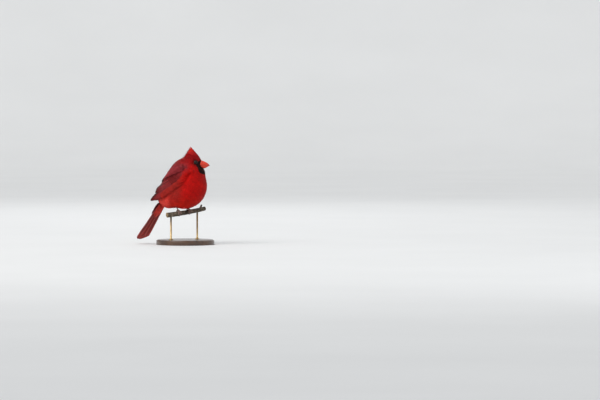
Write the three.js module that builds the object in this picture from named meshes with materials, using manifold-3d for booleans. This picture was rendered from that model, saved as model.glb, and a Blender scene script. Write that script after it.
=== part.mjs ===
// A male northern cardinal, life size, fluffed up against the cold on a cut length of branch, on a display stand.
// Millimetres, +Z up. The bird's body faces +X and its right side faces -Y. The origin is the middle of the
// stand's underside. Every part is a closed solid, and parts that touch keep a small gap.

import * as THREE from "three";
import { mergeVertices } from "three/addons/utils/BufferGeometryUtils.js";
import Module from "manifold-3d";

const wasm = await Module();
wasm.setup();

const { lerp, clamp, degToRad } = THREE.MathUtils;
const at = (x, y, z) => new THREE.Vector3(x, y, z);
const UP = at(0, 0, 1);

// Driving dimensions

const GAP = 0.3; // between parts that touch
const PERCH_TOP = 68; // top of the branch under the feet, so that the tail hangs clear of the floor

const TORSO = { middle: at(0, 0, PERCH_TOP + 50), radii: at(44, 37.5, 45.5) };
const HEAD = at(16.6, 2.5, PERCH_TOP + 96.5);
const HEAD_YAW = degToRad(12); // the head looks a little to the bird's left
const BILL_TIP = { front: 32.9, up: -6.6 }; // from the middle of the head
const BILL_WIDTH = 12.6; // at the gape
const EYE_RADIUS = 4;
const CREST_TIP = { front: -7.35, up: 33.1 };

const WING_AXIS_SLOPE = degToRad(32); // the folded wing runs down to the rear
const WING_LENGTH = 94; // bend of the wing to the longest primary
const TAIL_LENGTH = 102;
const TAIL_SLOPE = degToRad(52.5);
const TAIL_SWING = degToRad(20); // the tail is held to the bird's left
const TAIL_ROLL = degToRad(4); // and its underside is turned a little to the right

const PERCH_TURN = degToRad(52); // plan angle between the bird's body and the branch
const PERCH_RISE = 0.11;
const PERCH_RADIUS = 4.8;
const PERCH_ENDS = [-38, 56]; // along the branch from between the feet
const FEET_APART = 25;
const FEET_BEHIND = 4.5; // the feet hold the branch a little behind the body's middle

const BASE_RADIUS = 58;
const BASE_HEIGHT = 10;
const ROD_RADIUS = 1.7;
const ROD_PLACES = [-29, 36]; // along the branch

// Closed meshes

// A ready solid from a geometry: vertices merged, faces turned out.
function solidOf(geometry) {
  const bare = geometry.clone();
  bare.deleteAttribute("normal");
  bare.deleteAttribute("uv");
  const merged = mergeVertices(bare, 1e-4);
  const places = merged.getAttribute("position").array;
  const faces = new Uint32Array(merged.index.array);
  if (signedVolume(places, faces) < 0) {
    for (let i = 0; i < faces.length; i += 3) {
      [faces[i + 1], faces[i + 2]] = [faces[i + 2], faces[i + 1]];
    }
  }
  const mesh = new wasm.Mesh({ numProp: 3, vertProperties: places, triVerts: faces });
  return new wasm.Manifold(mesh);
}

function signedVolume(places, faces) {
  const corner = (i) => at(...places.subarray(3 * faces[i], 3 * faces[i] + 3));
  let sum = 0;
  for (let i = 0; i < faces.length; i += 3) {
    sum += corner(i).dot(corner(i + 1).cross(corner(i + 2)));
  }
  return sum / 6;
}

function geometryOf(solid) {
  const mesh = solid.getMesh();
  const places = new Float32Array(mesh.numVert * 3);
  for (let i = 0; i < mesh.numVert; i++) {
    places.set(mesh.vertProperties.subarray(i * mesh.numProp, i * mesh.numProp + 3), i * 3);
  }
  const geometry = new THREE.BufferGeometry();
  geometry.setAttribute("position", new THREE.BufferAttribute(places, 3));
  geometry.setIndex(new THREE.BufferAttribute(new Uint32Array(mesh.triVerts), 1));
  const flat = geometry.toNonIndexed();
  flat.computeVertexNormals();
  return flat;
}

const joined = (solids) => solids.reduce((all, one) => all.add(one));

function largest(solid) {
  return solid.decompose().reduce((a, b) => (b.volume() > a.volume() ? b : a));
}

// A skin over rings of equal count, closed at both ends. A ring side named in flipped has its faces split the other
// way, so that the two broad faces of a thin bent blade are split alike and never cross.
function loft(rings, flipped = []) {
  const count = rings[0].length;
  const places = rings.flat().flatMap((p) => [p.x, p.y, p.z]);
  const faces = [];
  for (let i = 0; i + 1 < rings.length; i++) {
    for (let k = 0; k < count; k++) {
      const [a, b] = [i * count + k, i * count + ((k + 1) % count)];
      const [c, d] = [a + count, b + count];
      faces.push(...(flipped.includes(k) ? [a, b, c, b, d, c] : [a, b, d, a, d, c]));
    }
  }
  const last = (rings.length - 1) * count;
  for (let k = 1; k + 1 < count; k++) {
    faces.push(0, k + 1, k, last, last + k, last + k + 1);
  }
  const geometry = new THREE.BufferGeometry();
  geometry.setAttribute("position", new THREE.Float32BufferAttribute(places, 3));
  geometry.setIndex(faces);
  return geometry;
}

// A round-sectioned limb through path, with one radius for each point.
function limb(path, radii, sides = 6) {
  const curve = new THREE.CatmullRomCurve3(path);
  let across = at(0.31, 0.87, 0.38);
  const rings = path.map((p, i) => {
    const along = curve.getTangent(i / (path.length - 1));
    across = across.clone().addScaledVector(along, -across.dot(along)).normalize();
    const third = along.clone().cross(across);
    return Array.from({ length: sides }, (_, k) => {
      const turn = (k / sides) * 2 * Math.PI;
      return p
        .clone()
        .addScaledVector(across, radii[i] * Math.cos(turn))
        .addScaledVector(third, radii[i] * Math.sin(turn));
    });
  });
  return solidOf(loft(rings));
}

// A thin blade, such as a feather. Each station gives its two edges and the outward direction there.
const BLADE_BACK = [3]; // the ring side that is the blade's inner face
function blade(stations) {
  const rings = stations.map(({ left, right, outward, thick }) => {
    const rise = outward.clone().multiplyScalar(thick);
    return [left, left.clone().add(rise), right.clone().add(rise), right];
  });
  return solidOf(loft(rings, BLADE_BACK));
}

// The body's shape: tilted ellipsoids, blended smoothly

function lump(middle, radii, { pitch = 0, yaw = 0, blend = 8 } = {}) {
  const turn = new THREE.Quaternion()
    .setFromAxisAngle(UP, yaw)
    .multiply(new THREE.Quaternion().setFromAxisAngle(at(0, -1, 0), pitch));
  return { middle, radii, unturn: turn.invert(), blend };
}

// Roughly the distance from p to the lump's surface, negative inside it.
function away(one, p) {
  const local = p.clone().sub(one.middle).applyQuaternion(one.unturn).divide(one.radii);
  const reach = local.length();
  const slope = local.divide(one.radii).length();
  return slope < 1e-9 ? -Math.min(...one.radii) : (reach * (reach - 1)) / slope;
}

function smoothMin(a, b, blend) {
  const near = Math.max(blend - Math.abs(a - b), 0) / blend;
  return Math.min(a, b) - (near * near * blend) / 4;
}
const smoothMax = (a, b, blend) => -smoothMin(-a, -b, blend);

// The frame of the folded wings: along runs to the rear, above is away from it towards the back.
const WING_FRAME = {
  start: at(8, 0, PERCH_TOP + 56),
  along: at(-Math.cos(WING_AXIS_SLOPE), 0, -Math.sin(WING_AXIS_SLOPE)),
  above: at(-Math.sin(WING_AXIS_SLOPE), 0, Math.cos(WING_AXIS_SLOPE)),
};
const onWingAxis = (s) => WING_FRAME.start.clone().addScaledVector(WING_FRAME.along, s);

const TAIL_FRAME = {
  root: at(-46, 0, PERCH_TOP + 22),
  along: at(-Math.cos(TAIL_SLOPE), 0, -Math.sin(TAIL_SLOPE)).applyAxisAngle(UP, -TAIL_SWING),
};
TAIL_FRAME.side = at(0, -1, 0).applyAxisAngle(UP, -TAIL_SWING).applyAxisAngle(TAIL_FRAME.along, TAIL_ROLL);
TAIL_FRAME.above = TAIL_FRAME.along.clone().cross(TAIL_FRAME.side);

const headFront = at(Math.cos(HEAD_YAW), Math.sin(HEAD_YAW), 0);
const headLeft = at(-Math.sin(HEAD_YAW), Math.cos(HEAD_YAW), 0);
const onHead = (front, left, up) =>
  HEAD.clone().addScaledVector(headFront, front).addScaledVector(headLeft, left).addScaledVector(UP, up);

const LUMPS = [
  lump(TORSO.middle, TORSO.radii, { blend: 1 }),
  lump(onWingAxis(28), at(46, 23, 27), { pitch: WING_AXIS_SLOPE, blend: 14 }), // back and rump
  lump(at(-31, 0, PERCH_TOP + 23), at(18, 13, 10.5), { pitch: degToRad(74), blend: 9 }), // vent and undertail
  lump(at(4, 1, PERCH_TOP + 83), at(27, 24, 23), { blend: 14 }), // neck
  lump(onHead(5.5, 0, -19.5), at(15.5, 14, 14), { yaw: HEAD_YAW, blend: 10 }), // throat
  lump(onHead(-2, 0, -1), at(15.5, 14.5, 15), { yaw: HEAD_YAW, blend: 8 }), // skull
  lump(onHead(0, 0, -9), at(13.5, 15.5, 10), { yaw: HEAD_YAW, blend: 6 }), // cheeks
  lump(onHead(8.5, 0, -3.5), at(10.5, 7, 11), { yaw: HEAD_YAW, blend: 5 }), // face, round the bill
  ...[-1, 1].map((side) => lump(at(-1, side * 13, PERCH_TOP + 16), at(12, 10, 10.5), { blend: 8 })), // thighs
];

// Where a folded wing lies, the plumage is hollowed, so that the wing sits flush in it.
const WING_HOLLOW_DEPTH = 6.5;
const WING_HOLLOWS = [-1, 1].map((side) =>
  lump(
    onWingAxis(16).add(at(-4, side * 37, 8)),
    at(52, WING_HOLLOW_DEPTH + 1, 26),
    { pitch: WING_AXIS_SLOPE, yaw: side * degToRad(14) },
  ),
);
const HOLLOW_BLEND = 7;

function plumage(p) {
  const full = LUMPS.reduce((d, one) => smoothMin(d, away(one, p), one.blend), Infinity);
  return WING_HOLLOWS.reduce((d, one) => smoothMax(d, -away(one, p), HOLLOW_BLEND), full);
}

// The wings lie on the plumage, and past the rump on an even taper.
const WING_TAPER = lump(onWingAxis(34), at(62, 22, 28), { pitch: WING_AXIS_SLOPE });
const wingBed = (p) => smoothMin(plumage(p), away(WING_TAPER, p), 4);

// How far from start, along way, the last place at that level of the field is.
const FAR = 110;
const STRIDE = 1.5;
function reachTo(field, start, way, level) {
  const value = (r) => field(start.clone().addScaledVector(way, r)) - level;
  let out = FAR;
  while (out > STRIDE && value(out - STRIDE) > 0) out -= STRIDE;
  let inside = out - STRIDE;
  for (let i = 0; i < 18; i++) {
    const half = (inside + out) / 2;
    if (value(half) > 0) out = half;
    else inside = half;
  }
  return inside;
}

// The plumage's surface, raised by level, as seen all round from middle.
function cast(middle, detail, level = 0) {
  const ball = new THREE.IcosahedronGeometry(1, detail);
  const places = ball.getAttribute("position");
  for (let i = 0; i < places.count; i++) {
    const way = at(places.getX(i), places.getY(i), places.getZ(i)).normalize();
    const p = way.clone().multiplyScalar(reachTo(plumage, middle, way, level)).add(middle);
    places.setXYZ(i, p.x, p.y, p.z);
  }
  return solidOf(ball);
}

// The part of solid on the side of a plane that way points to, kept off the plane by half a gap.
function beyond(solid, through, way) {
  const normal = way.clone().normalize();
  return solid.trimByPlane(normal.toArray(), normal.dot(through) + GAP / 2);
}

// Torso, neck and head are parted at two slanting planes.
const NECK_BASE = { through: at(2, 0, PERCH_TOP + 76), way: at(0.2, 0, 0.98) };
const NECK_TOP = { through: at(8, 0, PERCH_TOP + 88.5), way: at(0.42, 0.05, 0.9) };
const reversed = (way) => way.clone().negate();

const torsoMiddle = TORSO.middle.clone().add(at(-6, 0, -4));
const neckMiddle = at(6, 1, PERCH_TOP + 82);
const raisedTorso = cast(torsoMiddle, 8, GAP + 0.15);
const raisedNeck = cast(neckMiddle, 7, GAP + 0.15);

function makeTorso() {
  return beyond(cast(torsoMiddle, 8), NECK_BASE.through, reversed(NECK_BASE.way));
}

function makeNeck() {
  const upper = beyond(cast(neckMiddle, 7), NECK_BASE.through, NECK_BASE.way);
  return beyond(upper, NECK_TOP.through, reversed(NECK_TOP.way));
}

// Eyes

const EYE_FRONT = 6.3;
const EYE_UP = 0.1;
const EYE_SHOWS = 1.5; // how far the eye stands out of the head
const LID_RADIUS = 3.6;
const LID_THICKNESS = 0.75;

function eyePlace(side) {
  const start = onHead(EYE_FRONT, 0, EYE_UP);
  const way = headLeft.clone().multiplyScalar(side);
  const surface = reachTo(plumage, start, way, 0);
  const step = 2;
  const slope = reachTo(plumage, start.clone().addScaledVector(headFront, step), way, 0) - surface;
  const outward = way.clone().addScaledVector(headFront, -slope / step).normalize();
  const onSkin = start.addScaledVector(way, surface);
  return { onSkin, outward, middle: onSkin.clone().addScaledVector(outward, EYE_SHOWS - EYE_RADIUS) };
}

function ball(middle, radius, detail = 3) {
  return solidOf(new THREE.IcosahedronGeometry(radius, detail).translate(middle.x, middle.y, middle.z));
}

function makeEye(side) {
  return ball(eyePlace(side).middle, EYE_RADIUS, 2);
}

function lidRing(side) {
  const { onSkin, outward } = eyePlace(side);
  const ring = new THREE.TorusGeometry(LID_RADIUS, LID_THICKNESS, 5, 16);
  ring.applyQuaternion(new THREE.Quaternion().setFromUnitVectors(UP, outward));
  const place = onSkin.addScaledVector(outward, -0.1);
  return solidOf(ring.translate(place.x, place.y, place.z));
}

// Bill, described by heights over lengths from the middle of the head

const ridge = new THREE.SplineCurve([
  new THREE.Vector2(10, 5.2),
  new THREE.Vector2(14.5, 4.8),
  new THREE.Vector2(19, 3.1),
  new THREE.Vector2(24, 0.9),
  new THREE.Vector2(28.5, -1.9),
  new THREE.Vector2(31.6, -5),
  new THREE.Vector2(BILL_TIP.front, BILL_TIP.up - 0.7),
]);
const keel = new THREE.SplineCurve([
  new THREE.Vector2(10, -14),
  new THREE.Vector2(14.5, -13.9),
  new THREE.Vector2(19.5, -13),
  new THREE.Vector2(24, -11.2),
  new THREE.Vector2(28, -9),
  new THREE.Vector2(BILL_TIP.front - 1.6, BILL_TIP.up - 0.6),
]);

// The mouth line runs back from the tip almost straight, and turns down sharply before the gape.
const GAPE_BEND = 18;
function mouthHeight(front) {
  return BILL_TIP.up + 1.6 * Math.sin(Math.PI * clamp((BILL_TIP.front - front) / 21, 0, 1)) -
    0.62 * Math.max(0, GAPE_BEND - front);
}

function billHalfWidth(front) {
  const share = clamp((front - 9) / (BILL_TIP.front + 0.2 - 9), 0, 1);
  return (BILL_WIDTH / 2) * 1.08 * (1 - share ** 1.9) ** 0.85 + 0.3;
}

// One half of the bill: an arch from the mouth line to its edge curve and back, closed by the mouth face.
function mandible(edge, narrowing) {
  const steps = 9;
  const arch = 9;
  const above = edge.getPoint(0).y > mouthHeight(10) ? 1 : -1;
  const rings = Array.from({ length: steps + 1 }, (_, i) => {
    const { x: front, y: height } = edge.getPoint(i / steps);
    const low = mouthHeight(front) + (above * GAP) / 2;
    const rise = Math.max(above * (height - low), 0.25) * above;
    return Array.from({ length: arch }, (_, k) => {
      const turn = (k / (arch - 1)) * Math.PI;
      const side = billHalfWidth(front) * narrowing * Math.cos(turn);
      return onHead(front, side, low + rise * Math.sin(turn) ** 0.9);
    });
  });
  return solidOf(loft(rings));
}

// Nostrils: small hollows high on the upper half, close to the face.
function nostril(side) {
  return ball(onHead(18.6, side * 4.3, 0), 0.9, 1);
}

// Head, with a socket for each eye and a seat for the bill

const headMiddle = onHead(-1, 0, -2);

function makeHead() {
  const full = beyond(cast(headMiddle, 7), NECK_TOP.through, NECK_TOP.way);
  const lids = joined([-1, 1].map(lidRing));
  const sockets = joined([-1, 1].map((side) => ball(eyePlace(side).middle, EYE_RADIUS + GAP + 0.05, 2)));
  return largest(full.add(lids).subtract(sockets));
}

const raisedHead = cast(headMiddle, 7, GAP + 0.15);

function makeUpperBill() {
  const full = mandible(ridge, 1);
  const pierced = full.subtract(joined([-1, 1].map(nostril)));
  return largest(pierced.subtract(raisedHead));
}

function makeLowerBill() {
  return largest(mandible(keel, 0.94).subtract(raisedHead));
}

// Crest: it rises from the whole crown and closes to a point

const CREST_FRONT = [[17, 5.6], [11.5, 12], [5.65, 16.8], [1.85, 21.7], [-2.8, 27.5], [-7.1, 33.1]];
const CREST_REAR = [[-17.6, 8], [-16.9, 13.5], [-14.6, 20], [-12.2, 25.2], [-9.9, 29.8], [-7.6, 33.1]];
const CREST_HALF_WIDTHS = [9, 9.5, 7.5, 5, 2.8, 0.6];

// The roots of the locks run back over the crown, and their tips make the crest's edge.
const crestRoots = new THREE.SplineCurve([
  new THREE.Vector2(13.5, 3),
  new THREE.Vector2(4.5, 9),
  new THREE.Vector2(-5, 11),
  new THREE.Vector2(-13, 7),
]);
const crestTips = new THREE.SplineCurve([
  new THREE.Vector2(5, 17.6),
  new THREE.Vector2(-1, 25.5),
  new THREE.Vector2(CREST_TIP.front, CREST_TIP.up),
  new THREE.Vector2(-12, 26),
  new THREE.Vector2(-17.5, 13),
]);

// The locks' roots are set in a core that reaches half way up.
const CORE_RINGS = 4;
const CORE_SHARE = 0.8;
function crestCore() {
  const sides = 12;
  const rings = CREST_FRONT.slice(0, CORE_RINGS).map(([front, up], i) => {
    const [rear, rearUp] = CREST_REAR[i];
    const middle = onHead((front + rear) / 2, 0, (up + rearUp) / 2);
    const reach = onHead(front, 0, up).sub(middle);
    return Array.from({ length: sides }, (_, k) => {
      const turn = (k / sides) * 2 * Math.PI;
      return middle
        .clone()
        .addScaledVector(reach, Math.cos(turn) * CORE_SHARE)
        .addScaledVector(headLeft, CREST_HALF_WIDTHS[i] * Math.sin(turn) * CORE_SHARE);
    });
  });
  return solidOf(loft(rings));
}

// A lock lies along the crest from root to tip, both [front, up] at the middle of the head, and the tip draws in
// towards the middle line. A middle lock faces forward and up, a side lock faces outward.
function crestLock(root, tip, side, width) {
  const shares = [0, 0.4, 0.8, 1];
  const widths = [0.8, 1, 0.7, 0.14];
  const along = at(tip[0] - root[0], 0, tip[1] - root[1]).normalize();
  const stations = shares.map((share, i) => {
    const sideways = side * lerp(root[2] ?? 0, tip[2] ?? 0, share);
    const bow = 0.6 * Math.sin(Math.PI * share);
    const middle = onHead(
      lerp(root[0], tip[0], share) + bow * along.z * (side ? 0 : 1),
      sideways + bow * side,
      lerp(root[1], tip[1], share) + bow * -along.x * (side ? 0 : 1),
    );
    const facing = side ? headLeft.clone().multiplyScalar(side) : onHead(along.z, 0, -along.x).sub(HEAD);
    const way = onHead(along.x, 0, along.z).sub(HEAD);
    const across = facing.clone().cross(way).normalize();
    const half = (widths[i] * width) / 2;
    return {
      left: middle.clone().addScaledVector(across, -half),
      right: middle.clone().addScaledVector(across, half),
      outward: facing,
      thick: share > 0.8 ? 0.4 : 0.6,
    };
  });
  return blade(stations);
}

function makeCrest() {
  const locks = [];
  const count = 6;
  for (let i = 0; i < count; i++) {
    const share = i / (count - 1);
    const root = crestRoots.getPoint(share);
    const tip = crestTips.getPoint(share);
    locks.push(crestLock([root.x, root.y], [tip.x, tip.y], 0, lerp(9, 7, share)));
    for (const side of [-1, 1]) {
      const lower = crestTips.getPoint(clamp(share - 0.06, 0, 1));
      locks.push(crestLock([root.x - 1, root.y - 4, 6.5], [lower.x - 0.8, lower.y - 1.5, 0.8], side, 6.5));
    }
  }
  return largest(joined([crestCore(), ...locks]).subtract(cast(headMiddle, 5, GAP + 0.3)));
}

// Folded wings

// The way out from the wing axis, turned by angle from the back towards that side.
function flankWay(side, angle) {
  return WING_FRAME.above
    .clone()
    .multiplyScalar(Math.cos(angle))
    .addScaledVector(at(0, side, 0), Math.sin(angle));
}

// The place on a wing's bed s along the wing axis, in the direction of that angle, at that height above the bed.
function onFlank(side, s, angle, height) {
  const start = onWingAxis(s);
  const way = flankWay(side, angle);
  return start.addScaledVector(way, reachTo(wingBed, start, way, height));
}

function bedRadius(side, s, angle) {
  return onFlank(side, s, angle, 0).distanceTo(onWingAxis(s));
}

// The turn at which the bed stands that much above the wing axis, as seen from the side.
function flankAngle(side, s, above) {
  let angle = degToRad(60);
  for (let i = 0; i < 6; i++) {
    angle = Math.acos(clamp(above / bedRadius(side, s, angle), -0.5, 0.97));
  }
  return angle;
}

// Vanes are as thick as this, and vanes that lie over one another keep the gap between parts.
const VANE = 0.5;
const WING_GRID = [-12, 0, 12, 24, 36, 48, 60, 72];

// How much of its full width a vane has, at that distance from its tip.
function tipShare(left) {
  return Math.min(1, 0.3 + 0.2 * left);
}

// A vane of the wing lies on its bed from one place to another, both [along the axis, above it]. Its lower edge
// stands off the bed, over the upper edge of the vane below, like a roof tile's.
function wingVane(side, { from, to, pitch, cover, low }) {
  const length = to[0] - from[0];
  const grid = WING_GRID.filter((s) => s > from[0] + 3 && s < to[0] - 7);
  const stops = [from[0], ...grid, to[0] - 3, to[0]];
  const rise = (VANE + GAP) * cover;
  const stations = stops.map((s) => {
    const share = (s - from[0]) / length;
    const width = cover * lerp(...pitch, share);
    const half = (width / 2) * tipShare(to[0] - s) * Math.min(1, 0.6 + 2 * share);
    const middle = lerp(from[1], to[1], share);
    const base = lerp(low[0], low[1], Math.min(1, 2 * share));
    const edge = (v) => onFlank(side, s, flankAngle(side, s, middle + v), base + rise * (0.5 - v / width));
    return {
      left: edge(-half),
      right: edge(half),
      outward: flankWay(side, flankAngle(side, s, middle)),
      thick: s === to[0] ? 0.3 : VANE,
    };
  });
  return blade(stations);
}

// The flight feathers from the wing's lower edge up: how many, the spacing at root and tip, and how far each reaches.
const FLIGHTS = [
  { count: 6, pitch: [1.4, 2], cover: 2, reach: (k) => WING_LENGTH - 9 - 2.2 * (k - 2.4) ** 2 }, // primaries
  { count: 4, pitch: [1.8, 1.8], cover: 1.8, reach: (k) => 68 - 1.6 * k }, // secondaries
  { count: 3, pitch: [3.8, 3.2], cover: 1.5, reach: (k) => 60 - 7.5 * k }, // tertials
];

function flightFeathers(side) {
  const vanes = [];
  let [root, tip] = [4, 4.6];
  for (const { count, pitch, cover, reach } of FLIGHTS) {
    for (let k = 0; k < count; k++) {
      const from = [5 - 0.25 * root, root];
      vanes.push(wingVane(side, { from, to: [reach(k), tip], pitch, cover, low: [0.8, 0.8] }));
      root += pitch[0];
      tip += pitch[1];
    }
  }
  return vanes;
}

// The coverts, a tier at a time from the greater ones forward. Each tier lies over the roots of the last.
const COVERTS = [
  { count: 7, roots: [3, 5.5], tips: [24, 5.5], slant: 5, span: 22, low: [1.8, 3.2] }, // greater
  { count: 5, roots: [-7, 8.5], tips: [12, 8], slant: 3, span: 20, low: [2.4, 5.2] }, // median
  { count: 4, roots: [-13, 12], tips: [1, 10.5], slant: 1, span: 18, low: [2.4, 6.2] }, // lesser
  { count: 3, roots: [-16.5, 15], tips: [-7, 14.5], slant: 0, span: 13, low: [1.6, 4.8] }, // bend of the wing
];

function covertTier(side, { count, roots, tips, slant, span, low }) {
  return Array.from({ length: count }, (_, k) => {
    const share = k / (count - 1);
    const pitch = span / (count - 1);
    return wingVane(side, {
      from: [roots[0], roots[1] + span * 0.96 * share],
      to: [tips[0] + slant * share, tips[1] + span * share],
      pitch: [pitch, pitch],
      cover: 1.6,
      low,
    });
  });
}

// The arm of the wing, which the feathers' roots are set in: [along, lower edge, upper edge, thickness].
const ARM = [
  [-17, 17, 23, 1.2],
  [-13, 12.5, 27, 3],
  [-6, 8, 29, 4.4],
  [2, 3, 30, 4.6],
  [9, 2.4, 29.5, 3.2],
  [14, 3, 28, 1.2],
];

function wingArm(side) {
  const rows = 5;
  const rings = ARM.map(([s, low, high, thick]) => {
    const angles = Array.from({ length: rows }, (_, k) => flankAngle(side, s, lerp(low, high, k / (rows - 1))));
    const outer = angles.map((a, k) => onFlank(side, s, a, 0.5 + (k % (rows - 1) ? thick : 0.6 * thick)));
    const inner = angles.map((a) => onFlank(side, s, a, 0.5));
    return [...outer, ...inner.reverse()];
  });
  return solidOf(loft(rings));
}

function makeWing(side) {
  const tiers = COVERTS.flatMap((tier) => covertTier(side, tier));
  const wing = joined([wingArm(side), ...flightFeathers(side), ...tiers]);
  return largest(wing.subtract(raisedTorso).subtract(raisedNeck));
}

// Tail

const onTail = (along, side, above) =>
  TAIL_FRAME.root
    .clone()
    .addScaledVector(TAIL_FRAME.along, along)
    .addScaledVector(TAIL_FRAME.side, side)
    .addScaledVector(TAIL_FRAME.above, above);

// A tail feather from one length to another. Its middle line leaves the root at that angle, it widens to the tip,
// and it stops short of the tail's middle line where keep says so.
function tailVane({ from, to, start, angle, halfWidths, level, droop = 0, inner = -Infinity }) {
  const shares = [0, 0.45, 0.8, 0.95, 1];
  const rounding = [1, 1, 1, 0.85, 0.2];
  const hand = Math.sign(start) || 1;
  const stations = shares.map((share, i) => {
    const along = lerp(from, to, share);
    const middle = Math.abs(start) + Math.tan(angle) * along;
    const half = rounding[i] * lerp(...halfWidths, Math.min(1, share / 0.8));
    const edges = [Math.max(middle - half, inner), Math.max(middle + half, inner + 0.6)];
    const place = (v) => onTail(along, hand * v, level - droop * share * (v - middle) * 0.1);
    const [near, far] = edges.map(place);
    return {
      left: hand > 0 ? near : far,
      right: hand > 0 ? far : near,
      outward: TAIL_FRAME.above,
      thick: share === 1 ? 0.3 : VANE,
    };
  });
  return blade(stations);
}

const TAIL_EXIT = 16; // how far from its root the tail leaves the body

// Six feathers a side. The middle pair lies on top, and each pair farther out lies lower and is a little shorter.
const PAIRS = 6;
const TAIL_LEVEL_STEP = VANE + GAP;
function rectrices() {
  const vanes = [];
  for (const hand of [-1, 1]) {
    for (let j = 0; j < PAIRS; j++) {
      const share = j / (PAIRS - 1);
      const levels = j === 0 ? (hand > 0 ? 0 : 1) : j + 1;
      vanes.push(tailVane({
        from: TAIL_EXIT - 5,
        to: TAIL_LENGTH - 9 * share ** 1.5,
        start: hand * (1 + 5 * share),
        angle: degToRad(lerp(0.5, 3.4, share)),
        halfWidths: [3.4, 6.8],
        level: -TAIL_LEVEL_STEP * levels,
        droop: 0.6 * share,
        inner: j === 0 ? -Infinity : 0.2,
      }));
    }
  }
  return vanes;
}

// Coverts above and below the tail's root. The middle ones lie outermost.
function tailCoverts(above) {
  const count = above ? 4 : 5;
  const floor = above ? VANE + GAP : -TAIL_LEVEL_STEP * (PAIRS + 0.2) - VANE - 0.4;
  return Array.from({ length: count }, (_, k) => {
    const off = k - (count - 1) / 2;
    const step = TAIL_LEVEL_STEP * ((count - 1) / 2 - Math.abs(off)) + (off > 0 ? TAIL_LEVEL_STEP / 2 : 0);
    return tailVane({
      from: TAIL_EXIT - 5,
      to: TAIL_EXIT + (above ? 24 : 26) - 3 * Math.abs(off),
      start: off === 0 ? 0.01 : off * (above ? 2.1 : 1.9),
      angle: degToRad(1.2 * Math.abs(off)),
      halfWidths: [3, 4.2],
      level: above ? floor + step : floor - step,
    });
  });
}

function makeTail() {
  const root = new THREE.IcosahedronGeometry(1, 2).scale(16, 8, 5.5);
  const turn = new THREE.Matrix4().makeBasis(TAIL_FRAME.along, TAIL_FRAME.side, TAIL_FRAME.above);
  const middle = onTail(TAIL_EXIT, 0, -2.4);
  root.applyMatrix4(turn.setPosition(middle));
  const feathers = [...rectrices(), ...tailCoverts(true), ...tailCoverts(false)];
  return largest(joined([solidOf(root), ...feathers]).subtract(raisedTorso));
}

// Branch

const perchAlong = at(Math.cos(PERCH_TURN), Math.sin(PERCH_TURN), 0);
const perchFront = at(Math.sin(PERCH_TURN), -Math.cos(PERCH_TURN), 0);

// The branch's middle line, w along it from between the feet. It climbs and bends a little.
function perchLine(w) {
  return perchAlong
    .clone()
    .multiplyScalar(w)
    .addScaledVector(perchFront, -0.0014 * w * w)
    .add(at(-FEET_BEHIND, 0, PERCH_TOP - PERCH_RADIUS + PERCH_RISE * w + 0.0004 * w * w));
}
const perchRadius = (w) => PERCH_RADIUS - 0.009 * w;

function makePerch() {
  const steps = 9;
  const places = Array.from({ length: steps + 1 }, (_, i) => lerp(...PERCH_ENDS, i / steps));
  const branch = limb(places.map(perchLine), places.map(perchRadius), 12);
  const fork = perchLine(43);
  const stub = [0, 5, 10, 14].map((far) => {
    return fork
      .clone()
      .addScaledVector(perchAlong, 0.62 * far)
      .addScaledVector(perchFront, -0.45 * far)
      .addScaledVector(UP, 0.64 * far);
  });
  const twig = limb(stub, [3, 2.2, 1.9, 1.75], 9);
  const holes = joined(ROD_PLACES.map((w) => rodSolid(w, GAP)));
  return largest(branch.add(twig).subtract(holes));
}

// Feet and legs

const TOE_RADIUS = 1.35;
const TARSUS = 25;

// A toe bends round the branch from the top of the foot. Turns are from the branch's top, forward positive.
function toe(footAt, { spread, from, to, length }) {
  const steps = 5;
  const shares = Array.from({ length: steps + 1 }, (_, i) => i / steps);
  const path = shares.map((share) => {
    const turn = lerp(from, to, share);
    const w = footAt + spread * share * length;
    const out = perchRadius(w) + GAP + 0.25 + lerp(TOE_RADIUS, 0.9, share);
    return perchLine(w)
      .addScaledVector(perchFront, out * Math.sin(turn))
      .addScaledVector(UP, out * Math.cos(turn));
  });
  return limb(path, shares.map((share) => lerp(TOE_RADIUS, 0.9, share)));
}

// The claw goes on from the toe's end in a tighter bend.
function claw(footAt, { spread, to, length }) {
  const forward = Math.sign(to);
  const w = footAt + spread * length;
  const path = [-0.12, 0.1, 0.3, 0.5].map((more, i) => {
    const turn = to + forward * more;
    const out = perchRadius(w) + GAP + 1.3 - 0.1 * i;
    return perchLine(w + spread * more * 3)
      .addScaledVector(perchFront, out * Math.sin(turn))
      .addScaledVector(UP, out * Math.cos(turn));
  });
  return limb(path, [0.75, 0.65, 0.42, 0.15], 5);
}

const TOES = [
  { spread: -0.32, from: 0.1, to: 1.85, length: 12 },
  { spread: 0, from: 0.1, to: 2.25, length: 15 },
  { spread: 0.3, from: 0.1, to: 1.8, length: 12 },
  { spread: 0.05, from: -0.1, to: -1.8, length: 12 },
];

function makeLeg(side) {
  const footAt = side * (FEET_APART / 2);
  const ankle = perchLine(footAt).addScaledVector(UP, perchRadius(footAt) + GAP + TOE_RADIUS + 0.6);
  const lean = at(-0.42, 0.06 * side, 0.9).normalize();
  const path = [-0.04, 0.15, 0.5, 0.85, 1].map((share) => ankle.clone().addScaledVector(lean, share * TARSUS));
  const tarsus = limb(path, [1.7, 1.25, 1.15, 1.3, 1.9], 8);
  const pieces = TOES.flatMap((one) => [toe(footAt, one), claw(footAt, one)]);
  return largest(joined([tarsus, ...pieces]).subtract(raisedTorso));
}

// Stand

function makeBase() {
  const bevel = 1.2;
  const profile = [
    [0, 0],
    [BASE_RADIUS - bevel, 0],
    [BASE_RADIUS, bevel],
    [BASE_RADIUS, BASE_HEIGHT - bevel],
    [BASE_RADIUS - bevel, BASE_HEIGHT],
    [0, BASE_HEIGHT],
  ].map(([r, z]) => new THREE.Vector2(r, z));
  return solidOf(new THREE.LatheGeometry(profile, 48).rotateX(Math.PI / 2));
}

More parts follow.
